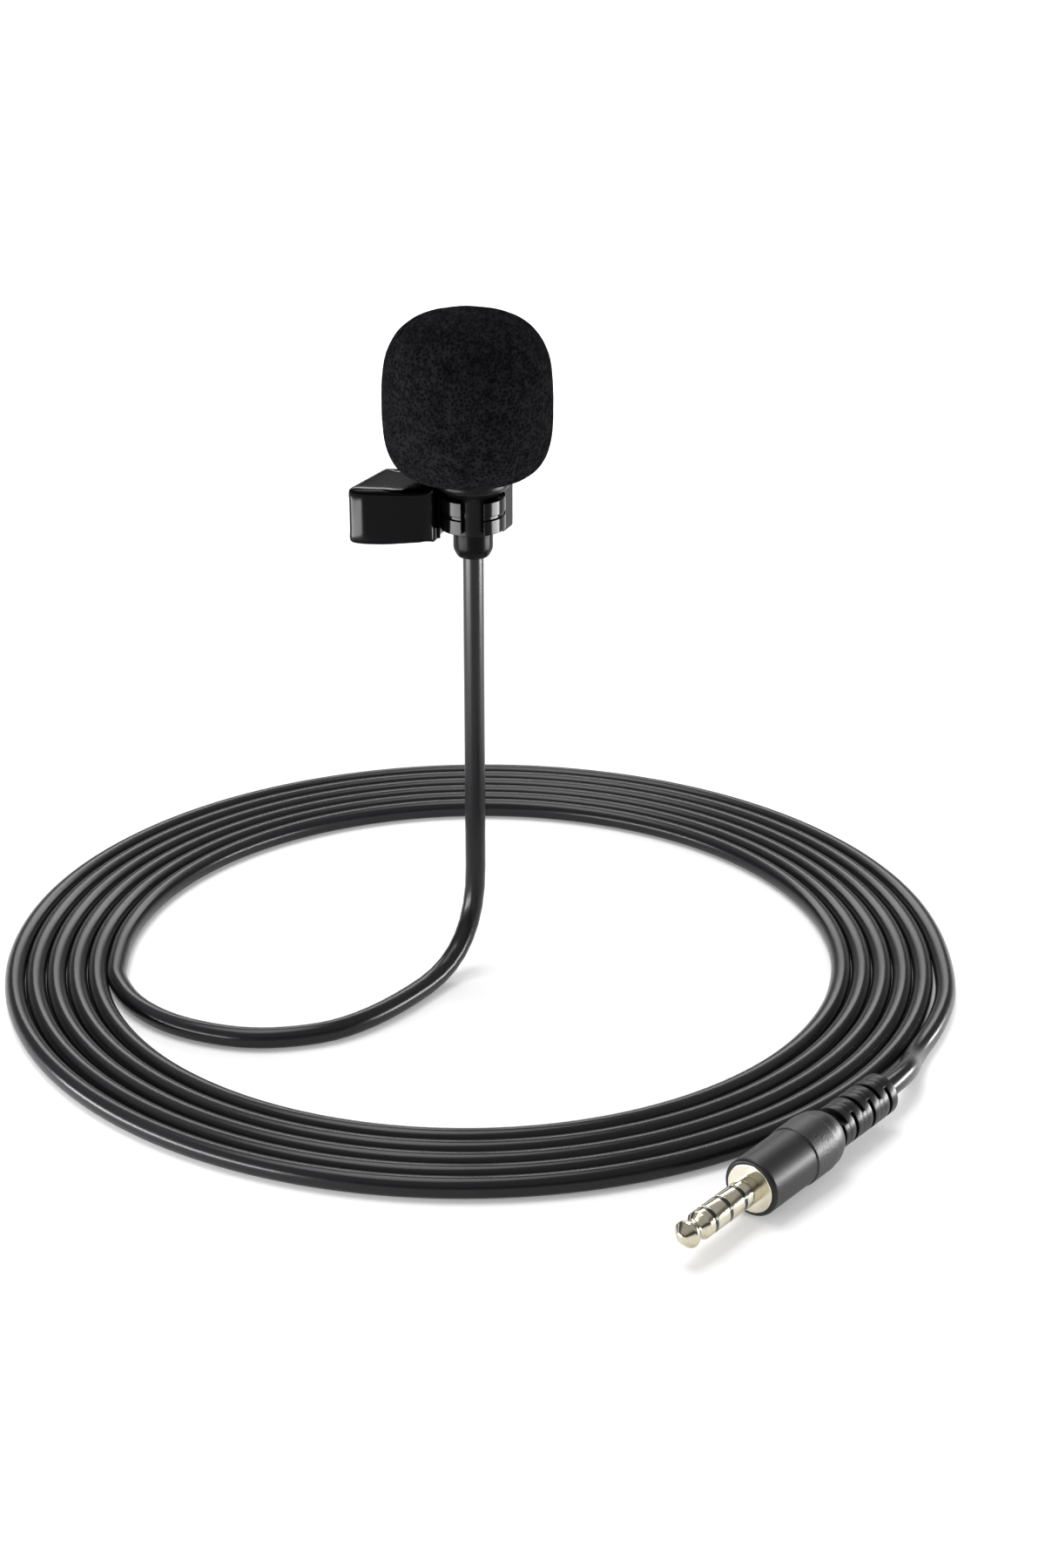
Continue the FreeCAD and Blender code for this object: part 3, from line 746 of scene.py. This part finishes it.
# Clip jaws
# Two injection-moulded levers in glossy black ABS. The front one carries the ring in its cradle and has the
# thick finger block on the left; the rear one bends outwards behind the spring.

# Polished ABS: near black, mirror-like, with a slow ripple from the mould.
gloss_abs = grained(
    "ABS, gloss moulded",
    "#040406",
    "#070709",
    patch=6.0,
    grain=2.5,
    depth=0.006,
    Roughness=0.14,
    Specular_IOR_Level=0.085,
)

# The finger block's edges are round all over: the whole jaw gets an even mesh, which is smoothed where the
# finger lies and left alone round the pin, the ring and the pad.
block_side_x = -12.7
block_root_x, block_root_y = -8.4, -3.9
even_face = 0.12
rounding_passes = 110
rounding_fade = 0.8
blank = bpy.data.objects.new("jaw_blank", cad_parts["front_jaw"].data.copy())
bpy.context.collection.objects.link(blank)
merged = blank.modifiers.new("merged corners", "WELD")
merged.merge_threshold = merge_gap * mm
even = blank.modifiers.new("even faces", "REMESH")
even.mode = "VOXEL"
even.voxel_size = even_face * mm
even_mesh = settled(blank)
bpy.data.objects.remove(blank)
shape = bmesh.new()
shape.from_mesh(even_mesh)
for i in range(rounding_passes):
    fade = rounding_fade * i / rounding_passes
    finger = [
        v
        for v in shape.verts
        if v.co.x < (block_side_x - fade) * mm
        or (v.co.x < (block_root_x - fade) * mm and v.co.y < (block_root_y - fade) * mm)
    ]
    bmesh.ops.smooth_vert(shape, verts=finger, factor=0.5, use_axis_x=True, use_axis_y=True, use_axis_z=True)

# Smoothing draws the block in a little, so its end is stretched back out and its height evened up.
stretch = 0.075
heighten = 0.045
heighten_over = 2.0
for v in shape.verts:
    past = block_side_x * mm - v.co.x
    if past > 0:
        v.co.x -= stretch * past
        v.co.z *= 1 + heighten * min(1.0, past / (heighten_over * mm))
front_lever = piece("front_lever", shape, gloss_abs, sharp=35)
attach(front_lever, "clip")
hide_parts("front_jaw")

rear_lever = softened("rear_lever_part", "rear_jaw", gloss_abs, 0.3, segments=4)
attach(rear_lever, "rear_lever")
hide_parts("rear_jaw")


# Grip pads
# A saw-toothed strip of rubber glued to each jaw, so that cloth can't slip out.

# Moulded grip rubber: matt, with a coarse skin.
grip_rubber = grained(
    "nitrile rubber, moulded",
    "#111112",
    "#1a1a1c",
    patch=2.0,
    grain=0.2,
    depth=0.015,
    Roughness=0.65,
    IOR=1.5,
)

tree, inputs = tree_with("saw teeth", ["Pitch", "Rise", "Width", "Base", "Count"])
tooth = add(tree, "GeometryNodeMeshCylinder", None, {"Vertices": 3, "Radius": 1.0, "Depth": 1.0})
pitch_share = add(
    tree,
    "ShaderNodeMath",
    {"operation": "DIVIDE"},
    {0: inputs.outputs["Pitch"], 1: math.sqrt(3)},
)
rise_share = add(tree, "ShaderNodeMath", {"operation": "DIVIDE"}, {0: inputs.outputs["Rise"], 1: 1.5})
size = add(
    tree,
    "ShaderNodeCombineXYZ",
    None,
    {0: pitch_share.outputs[0], 1: rise_share.outputs[0], 2: inputs.outputs["Width"]},
)
upright_tooth = add(
    tree,
    "GeometryNodeTransform",
    None,
    {"Geometry": tooth.outputs[0], "Rotation": (0, 0, math.pi / 2)},
)
sized_tooth = add(
    tree,
    "GeometryNodeTransform",
    None,
    {"Geometry": upright_tooth.outputs[0], "Scale": size.outputs[0]},
)
half_base = add(tree, "ShaderNodeMath", {"operation": "DIVIDE"}, {0: rise_share.outputs[0], 1: 2.0})
seat = add(tree, "ShaderNodeMath", {"operation": "ADD"}, {0: half_base.outputs[0], 1: inputs.outputs["Base"]})
first = add(tree, "ShaderNodeMath", {"operation": "MULTIPLY"}, {0: inputs.outputs["Pitch"], 1: -0.5})
first_place = add(tree, "ShaderNodeCombineXYZ", None, {0: first.outputs[0], 1: seat.outputs[0]})
back_step = add(tree, "ShaderNodeMath", {"operation": "MULTIPLY"}, {0: inputs.outputs["Pitch"], 1: -1.0})
step = add(tree, "ShaderNodeCombineXYZ", None, {0: back_step.outputs[0]})
row = add(
    tree,
    "GeometryNodeMeshLine",
    {"mode": "OFFSET"},
    {
        "Count": inputs.outputs["Count"],
        "Start Location": first_place.outputs[0],
        "Offset": step.outputs[0],
    },
)
teeth = add(
    tree,
    "GeometryNodeInstanceOnPoints",
    None,
    {"Points": row.outputs[0], "Instance": sized_tooth.outputs[0]},
)
strip_length = add(
    tree,
    "ShaderNodeMath",
    {"operation": "MULTIPLY"},
    {0: inputs.outputs["Pitch"], 1: inputs.outputs["Count"]},
)
strip_size = add(
    tree,
    "ShaderNodeCombineXYZ",
    None,
    {0: strip_length.outputs[0], 1: inputs.outputs["Base"], 2: inputs.outputs["Width"]},
)
strip = add(tree, "GeometryNodeMeshCube", None, {"Size": strip_size.outputs[0]})
strip_x = add(tree, "ShaderNodeMath", {"operation": "MULTIPLY"}, {0: strip_length.outputs[0], 1: -0.5})
strip_y = add(tree, "ShaderNodeMath", {"operation": "MULTIPLY"}, {0: inputs.outputs["Base"], 1: 0.5})
strip_place = add(tree, "ShaderNodeCombineXYZ", None, {0: strip_x.outputs[0], 1: strip_y.outputs[0]})
placed_strip = add(
    tree,
    "GeometryNodeTransform",
    None,
    {"Geometry": strip.outputs[0], "Translation": strip_place.outputs[0]},
)
pad_parts = add(tree, "GeometryNodeJoinGeometry")
for source in (teeth, placed_strip):
    tree.links.new(source.outputs[0], pad_parts.inputs[0])
end_tree(tree, inputs, pad_parts.outputs[0])

pad_tip = 5.0 + microphone_axis.x
pad_middle = 0.15
for name, node, body, back, base, faces_front in [
    ("front_pad", "front_grip_pad", "clip", 6.4, 0.2, False),
    ("rear_pad", "rear_grip_pad", "rear_lever", 7.4, 0.33, True),
]:
    pad = grown(
        name,
        tree,
        {
            "Pitch": 1.4 * mm,
            "Rise": 0.35 * mm,
            "Width": 6.7 * mm,
            "Base": base * mm,
            "Count": 6.0,
        },
        grip_rubber,
        edge=0.04 * mm,
    )
    facing = Matrix.Scale(-1, 4, (0, 1, 0)) if faces_front else Matrix.Identity(4)
    seat_place = Vector((pad_tip, microphone_axis.y + back, pad_middle)) * mm
    pad.data.transform(Matrix.Translation(seat_place) @ facing)
    if faces_front:
        pad.data.flip_normals()
    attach(pad, body)
    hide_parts(node)


# Hinge pin and torsion spring
# A riveted pin through both jaws' eyes, and a spring of 0.5 mm music wire wound round it, with one leg along
# each lever.

hinge = Matrix.Translation((microphone_axis.x - 7.0, microphone_axis.y + 6.9, 0))
pin_radius = 0.75
head_radius = 1.25
pin = turned(
    "pin",
    rounded(
        [
            (0, -3.9, 0),
            (0.95, -3.9, 0.35),
            (head_radius, -3.6, 0.2),
            (head_radius, -3.5, 0.05),
            (pin_radius, -3.5, 0.03),
            (pin_radius, 3.8, 0.03),
            (head_radius, 3.8, 0.05),
            (head_radius, 3.9, 0.2),
            (0.95, 4.2, 0.35),
            (0, 4.2, 0),
        ]
    ),
    hinge,
    nickel,
    steps=48,
)
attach(pin, "clip")
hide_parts("hinge_pin")

# Drawn spring steel: grey and bright, with lines along the wire.
spring_steel = grained(
    "spring steel, drawn",
    "#8b8c90",
    "#a5a6aa",
    patch=0.8,
    grain=0.1,
    depth=0.002,
    Roughness=0.28,
    Metallic=1.0,
)
wire_radius = 0.25
wound_radius = 1.35
wire_pitch = 0.8
whole_turns = 2
front_leg_bearing, front_leg = 30.4, 6.0
rear_leg_bearing, rear_leg = 16.6, 4.8
first_angle = math.radians(front_leg_bearing - 90)
last_angle = math.radians(90 - rear_leg_bearing) + 2 * math.pi * whole_turns
wound_length = wire_pitch * (last_angle - first_angle) / (2 * math.pi)
spring_low, spring_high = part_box("torsion_spring")
spring_middle = hinge.translation + Vector((0, 0, (spring_low[2] + spring_high[2]) / 2 / mm))
wire_line = []
winding_steps = 96
for k in range(winding_steps + 1):
    share = k / winding_steps
    angle = first_angle + (last_angle - first_angle) * share
    x, y = wound_radius * math.cos(angle), wound_radius * math.sin(angle)
    at = spring_middle + Vector((x, y, wound_length * (share - 0.5)))
    onward = Vector((-math.sin(angle), math.cos(angle), 0))
    if k == 0:
        wire_line.append(at - onward * front_leg)
    wire_line.append(at)
    if k == winding_steps:
        wire_line.append(at + onward * rear_leg)

wire_curve = bpy.data.curves.new("spring_wire", "CURVE")
wire_curve.dimensions = "3D"
wire_run = wire_curve.splines.new("POLY")
wire_run.points.add(len(wire_line) - 1)
for point, spot in zip(wire_run.points, wire_line):
    point.co = (*(spot * mm), 1)
wire_curve.bevel_depth = wire_radius * mm
wire_curve.bevel_resolution = 3
wire_curve.use_fill_caps = True
wire_run.use_smooth = True
wound = bpy.data.objects.new("spring_wire", wire_curve)
bpy.context.collection.objects.link(wound)
wire_mesh = settled(wound)
bpy.data.objects.remove(wound)
shape = bmesh.new()
shape.from_mesh(wire_mesh)
bmesh.ops.remove_doubles(shape, verts=shape.verts, dist=0.001 * mm)
bmesh.ops.recalc_face_normals(shape, faces=shape.faces)
spring = piece("spring", shape, spring_steel)
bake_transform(spring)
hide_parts("torsion_spring")


# Plug: the jack
# A standard four-contact jack: turned brass contacts, gold plated, between rings of glossy black insulator,
# nested round one rod.

plug_place = (
    Matrix.Translation(plug_tip)
    @ Matrix.Rotation(plug_heading, 4, "Z")
    @ Matrix.Rotation(math.pi / 2, 4, "Y")
)

# Gold-plated brass, turned: warm and bright, with faint lathe lines round the barrel.
gold, tree, shader = material("brass, turned and gold plated", Roughness=0.16, Metallic=1.0)
place = add(tree, "ShaderNodeTexCoord").outputs["Object"]
along_plug = add(
    tree,
    "ShaderNodeMapping",
    {"vector_type": "TEXTURE"},
    {"Vector": place, "Rotation": (0, 0, plug_heading)},
)
lathe_lined(tree, shader, along_plug.outputs[0], (9000, 120, 120), "#bab39c", "#d9d3bf", depth=0.002)

# The flange takes a paler copy of the contacts' gold, with a fine turned grain: the paler colour is painted
# reflection of the bright light it faces.
gold_painted_paler = grained(
    "brass, gold plated, painted paler",
    "#dcd7c2",
    "#eeeadb",
    patch=1.5,
    grain=0.12,
    depth=0.002,
    Roughness=0.22,
    Metallic=1.0,
)

# Glass-filled nylon, polished with the contacts: gloss black.
jack_black = grained(
    "nylon, gloss black", "#0a0a0b", "#121213", patch=1.0, grain=0.15, depth=0.002, Roughness=0.2, IOR=1.53
)

rod_radius = 0.45
rod_end = 17.2
jack_radius = 1.75
jack_tip = turned(
    "jack_tip",
    rounded(
        [
            (0, 0, 0),
            (0.6, 0.12, 0.35),
            (1.7, 1.2, 0.3),
            (1.7, 1.6, 0.2),
            (1.2, 2.4, 0.35),
            (1.2, 2.9, 0.35),
            (jack_radius, 3.7, 0.15),
            (jack_radius, 4.7, 0.04),
            (rod_radius, 4.7, 0.02),
            (rod_radius, rod_end, 0.02),
            (0, rod_end, 0),
        ]
    ),
    plug_place,
    gold,
)
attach(jack_tip, "microphone")
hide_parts("plug_tip")

contact = 2.35
insulator = 0.6
station = 4.7
nested_wall = 0.19
nested_gap = 0.01
stepped_back = 0.4
for level, (name, node, length, look, slot) in enumerate(
    [
        ("insulator_1", "plug_insulator_1", insulator, jack_black, "jack_insulator"),
        ("contact_1", "plug_ring_1", contact, gold, "gold_plate"),
        ("insulator_2", "plug_insulator_2", insulator, jack_black, "jack_insulator"),
        ("contact_2", "plug_ring_2", contact, gold, "gold_plate"),
        ("insulator_3", "plug_insulator_3", insulator, jack_black, "jack_insulator"),
    ]
):
    bore = rod_radius + nested_wall * level + nested_gap
    shank = rod_radius + nested_wall * (level + 1) - nested_gap
    back = rod_end - stepped_back * (level + 1)
    outside = jack_radius - (0.02 if look is jack_black else 0)
    layer = turned(
        name,
        rounded(
            [
                (bore, station, 0),
                (outside, station, 0.05),
                (outside, station + length, 0.05),
                (shank, station + length, 0),
                (shank, back, 0),
                (bore, back, 0),
            ]
        ),
        plug_place,
        look,
    )
    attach(layer, "microphone")
    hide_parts(node)
    station += length

sleeve = turned(
    "contact_3",
    rounded(
        [
            (1.41, station, 0),
            (jack_radius, station, 0.05),
            (jack_radius, 14.0, 0.03),
            (1.58, 14.0, 0),
            (1.58, 14.8, 0),
            (1.41, 14.8, 0),
        ]
    ),
    plug_place,
    gold,
)
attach(sleeve, "microphone")
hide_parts("plug_sleeve")

# The flange's paler gold is painted reflection.
flange = turned(
    "flange",
    rounded([(1.6, 14.0, 0), (3.1, 14.0, 0.12), (3.1, 14.6, 0), (1.6, 14.6, 0)]),
    plug_place,
    gold_painted_paler,
)
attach(flange, "microphone")
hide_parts("plug_flange")


# Plug: grip and strain relief
# A moulded satin grip with a straight front, a slightly wider and duller band, and a rounded shoulder. Behind
# it a rubber sleeve of six discs lets the cord bend: each web between two discs is turned a quarter from the
# last.

# Moulded PVC, satin: a fine spark-eroded grain and soft long reflections.
satin_pvc = grained(
    "PVC, satin moulded",
    "#0e0e10",
    "#161618",
    patch=4.0,
    grain=0.22,
    depth=0.01,
    Roughness=0.4,
    Specular_IOR_Level=0.38,
)

# The same compound with a coarser, duller texture on the rear band.
dull_pvc = grained(
    "PVC, textured",
    "#101012",
    "#1b1b1e",
    patch=1.2,
    grain=0.3,
    depth=0.04,
    Roughness=0.42,
    Specular_IOR_Level=0.5,
)

grip = turned(
    "plug_grip",
    rounded(
        [
            (3.12, 14.1, 0),
            (3.4, 14.1, 0.1),
            (3.7, 14.4, 0.3),
            (3.7, 23.0, 0.05),
            (3.85, 23.15, 0.12),
            (3.85, 27.3, 0.12),
            (3.8, 27.4, 0.05),
            (3.66, 28.8, 1.0),
            (3.2, 30.0, 0.5),
            (2.0, 31.2, 0.25),
            (1.42, 31.2, 0),
            (1.42, 30.0, 0),
            (2.7, 30.0, 0),
            (3.2, 27.3, 0),
            (3.2, 14.6, 0),
            (3.12, 14.6, 0),
        ]
    ),
    plug_place,
    satin_pvc,
)
band_start = 23.05
band_end = 27.45
grip.data.materials.append(dull_pvc)
back_to_plug = (Matrix.Scale(mm, 4) @ plug_place).inverted()
for face in grip.data.polygons:
    if band_start < (back_to_plug @ face.center).z < band_end:
        face.material_index = 1
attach(grip, "microphone")
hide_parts("plug_shell")

# Moulded thermoplastic rubber: black, with a fine eroded grain that catches light on the discs' rims.
soft_rubber = grained(
    "thermoplastic rubber, grained",
    "#09090a",
    "#101011",
    patch=3.0,
    grain=0.18,
    depth=0.012,
    Roughness=0.34,
    Specular_IOR_Level=0.26,
)

tree, inputs = tree_with("relief discs", ["Pitch", "Gap", "Disc radius", "Neck radius", "Web width", "Count"])
disc_length = add(
    tree,
    "ShaderNodeMath",
    {"operation": "SUBTRACT"},
    {0: inputs.outputs["Pitch"], 1: inputs.outputs["Gap"]},
)
disc = add(
    tree,
    "GeometryNodeMeshCylinder",
    None,
    {"Vertices": 72, "Radius": inputs.outputs["Disc radius"], "Depth": disc_length.outputs[0]},
)
half_disc = add(tree, "ShaderNodeMath", {"operation": "MULTIPLY"}, {0: disc_length.outputs[0], 1: 0.5})
disc_height = add(
    tree,
    "ShaderNodeMath",
    {"operation": "ADD"},
    {0: half_disc.outputs[0], 1: inputs.outputs["Gap"]},
)
disc_place = add(tree, "ShaderNodeCombineXYZ", None, {2: disc_height.outputs[0]})
step = add(tree, "ShaderNodeCombineXYZ", None, {2: inputs.outputs["Pitch"]})
disc_row = add(
    tree,
    "GeometryNodeMeshLine",
    {"mode": "OFFSET"},
    {"Count": inputs.outputs["Count"], "Start Location": disc_place.outputs[0], "Offset": step.outputs[0]},
)
discs = add(
    tree,
    "GeometryNodeInstanceOnPoints",
    None,
    {"Points": disc_row.outputs[0], "Instance": disc.outputs[0]},
)
web_depth = add(tree, "ShaderNodeMath", {"operation": "MULTIPLY"}, {0: inputs.outputs["Gap"], 1: 1.6})
web_round = add(
    tree,
    "GeometryNodeMeshCylinder",
    None,
    {"Vertices": 72, "Radius": inputs.outputs["Disc radius"], "Depth": web_depth.outputs[0]},
)
web_span = add(tree, "ShaderNodeMath", {"operation": "MULTIPLY"}, {0: inputs.outputs["Disc radius"], 1: 3.0})
web_size = add(
    tree,
    "ShaderNodeCombineXYZ",
    None,
    {0: inputs.outputs["Web width"], 1: web_span.outputs[0], 2: inputs.outputs["Pitch"]},
)
web_block = add(tree, "GeometryNodeMeshCube", None, {"Size": web_size.outputs[0]})
web = add(tree, "GeometryNodeMeshBoolean", {"operation": "INTERSECT"})
for source in (web_round, web_block):
    tree.links.new(source.outputs[0], web.inputs["Mesh 2"])
half_gap = add(tree, "ShaderNodeMath", {"operation": "MULTIPLY"}, {0: inputs.outputs["Gap"], 1: 0.5})
web_place = add(tree, "ShaderNodeCombineXYZ", None, {2: half_gap.outputs[0]})
web_row = add(
    tree,
    "GeometryNodeMeshLine",
    {"mode": "OFFSET"},
    {"Count": inputs.outputs["Count"], "Start Location": web_place.outputs[0], "Offset": step.outputs[0]},
)
number = add(tree, "GeometryNodeInputIndex")
quarter_turn = add(
    tree,
    "ShaderNodeMath",
    {"operation": "MULTIPLY"},
    {0: number.outputs[0], 1: math.pi / 2},
)
turn = add(tree, "ShaderNodeCombineXYZ", None, {2: quarter_turn.outputs[0]})
webs = add(
    tree,
    "GeometryNodeInstanceOnPoints",
    None,
    {"Points": web_row.outputs[0], "Instance": web.outputs[0], "Rotation": turn.outputs[0]},
)
whole_length = add(
    tree,
    "ShaderNodeMath",
    {"operation": "MULTIPLY"},
    {0: inputs.outputs["Pitch"], 1: inputs.outputs["Count"]},
)
neck_length = add(
    tree,
    "ShaderNodeMath",
    {"operation": "SUBTRACT"},
    {0: whole_length.outputs[0], 1: inputs.outputs["Gap"]},
)
neck = add(
    tree,
    "GeometryNodeMeshCylinder",
    None,
    {"Vertices": 48, "Radius": inputs.outputs["Neck radius"], "Depth": neck_length.outputs[0]},
)
neck_middle = add(tree, "ShaderNodeMath", {"operation": "MULTIPLY"}, {0: neck_length.outputs[0], 1: 0.5})
neck_height = add(tree, "ShaderNodeCombineXYZ", None, {2: neck_middle.outputs[0]})
neck_placed = add(
    tree,
    "GeometryNodeTransform",
    None,
    {"Geometry": neck.outputs[0], "Translation": neck_height.outputs[0]},
)
relief_parts = add(tree, "GeometryNodeJoinGeometry")
for source in (discs, webs, neck_placed):
    tree.links.new(source.outputs[0], relief_parts.inputs[0])
end_tree(tree, inputs, relief_parts.outputs[0])
plug_relief = grown(
    "plug_relief",
    tree,
    {
        "Pitch": 1.93 * mm,
        "Gap": 0.65 * mm,
        "Disc radius": 2.75 * mm,
        "Neck radius": 1.95 * mm,
        "Web width": 3.2 * mm,
        "Count": 6.0,
    },
    soft_rubber,
    edge=0.14 * mm,
)
grip_end = 31.2
up_to_grip = Matrix.Translation((0, 0, grip_end * mm))
plug_relief.data.transform(Matrix.Translation(plug_tip * mm) @ plug_place.to_3x3().to_4x4() @ up_to_grip)
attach(plug_relief, "microphone")
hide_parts("plug_strain_relief")

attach(cord, "microphone")
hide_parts("mic_lead", "cord_coil", "plug_lead")


# Floor and light
# A plain white surface under one large soft light from above, a wide panel behind that draws the light line
# along every turn, and two low strips at the sides that light the clip's rounded edges.

shape = bmesh.new()
floor_reach = 10.0
corners = [(x * floor_reach, y * floor_reach) for x, y in [(-1, -1), (1, -1), (1, 1), (-1, 1)]]
shape.faces.new([shape.verts.new((x, y, surface * mm)) for x, y in corners])
paper, tree, shader = material("matt white paper", Roughness=0.9, Specular_IOR_Level=0.2)
place = add(tree, "ShaderNodeTexCoord").outputs["Object"]
fibre = add(tree, "ShaderNodeTexNoise", None, {"Vector": place, "Scale": 1 / (0.6 * mm), "Detail": 3.0})
toned(tree, shader, fibre.outputs["Fac"], "#e9e9ea", "#efeff0")
rays = add(tree, "ShaderNodeLightPath")
seen_straight = add(
    tree,
    "ShaderNodeMath",
    {"operation": "MAXIMUM"},
    {0: rays.outputs["Is Camera Ray"], 1: rays.outputs["Is Transmission Ray"]},
)
seen = add(
    tree,
    "ShaderNodeMath",
    {"operation": "MAXIMUM"},
    {0: seen_straight.outputs[0], 1: rays.outputs["Is Glossy Ray"]},
)
distance = add(tree, "ShaderNodeVectorMath", {"operation": "LENGTH"}, {0: place})
brightening = add(
    tree,
    "ShaderNodeMapRange",
    None,
    {"Value": distance.outputs["Value"], "From Min": 0.12, "From Max": 0.7, "To Min": 0.22, "To Max": 1.0},
)
lift = add(tree, "ShaderNodeMath", {"operation": "MULTIPLY"}, {0: seen.outputs[0], 1: brightening.outputs[0]})
glow = add(tree, "ShaderNodeEmission", None, {"Color": (1, 1, 1, 1), "Strength": lift.outputs[0]})
both = add(tree, "ShaderNodeAddShader", None, {0: shader.outputs[0], 1: glow.outputs[0]})
output = next(node for node in tree.nodes if node.type == "OUTPUT_MATERIAL")
tree.links.new(both.outputs[0], output.inputs["Surface"])
floor = piece("floor", shape, paper)

# The room: white along the horizon, dim walls up to 25 degrees that keep the clip's flat tops dark, and a
# softly lit ceiling. Each stop is the sine of the elevation and the brightness there.
world = bpy.data.worlds.new("room")
bpy.context.scene.world = world
world.use_nodes = True
tree = world.node_tree
tree.nodes.clear()
direction = add(tree, "ShaderNodeTexCoord").outputs["Generated"]
upward = add(tree, "ShaderNodeSeparateXYZ", None, {0: direction}).outputs["Z"]
walls = add(tree, "ShaderNodeValToRGB", None, {"Fac": upward})
for element, (position, level) in zip(walls.color_ramp.elements, [(0.1, 1.0), (0.62, 0.5)]):
    element.position = position
    element.color = (level, level, level, 1)
for position, level in [(0.17, 0.06), (0.42, 0.06)]:
    walls.color_ramp.elements.new(position).color = (level, level, level, 1)
sky = add(tree, "ShaderNodeBackground", None, {"Color": walls.outputs["Color"], "Strength": 1.0})
add(tree, "ShaderNodeOutputWorld", None, {"Surface": sky.outputs[0]})


def softbox(name, at, aim, width, height, power):
    """Rectangular soft light that faces the aimed point."""
    light = bpy.data.lights.new(name, "AREA")
    light.shape = "RECTANGLE"
    light.size = width
    light.size_y = height
    light.energy = power
    held = bpy.data.objects.new(name, light)
    bpy.context.collection.objects.link(held)
    held.location = at
    held.rotation_euler = (Vector(aim) - Vector(at)).to_track_quat("-Z", "Y").to_euler()
    held.visible_camera = False


spiral_heart = (0, 0, -0.05)
ring_heart = (-0.003, -0.007, 0.0)
softbox("overhead", (-0.1, 0.1, 0.6), spiral_heart, width=0.45, height=0.35, power=2.8)
softbox("back panel", (0.0, 0.52, 0.27), spiral_heart, width=0.6, height=0.12, power=1.4)
softbox("left strip", (-0.144, -0.083, -0.05), ring_heart, width=0.17, height=0.018, power=0.33)
softbox("right strip", (0.157, -0.011, -0.05), ring_heart, width=0.1, height=0.018, power=0.26)

bpy.context.scene.view_settings.view_transform = "Standard"
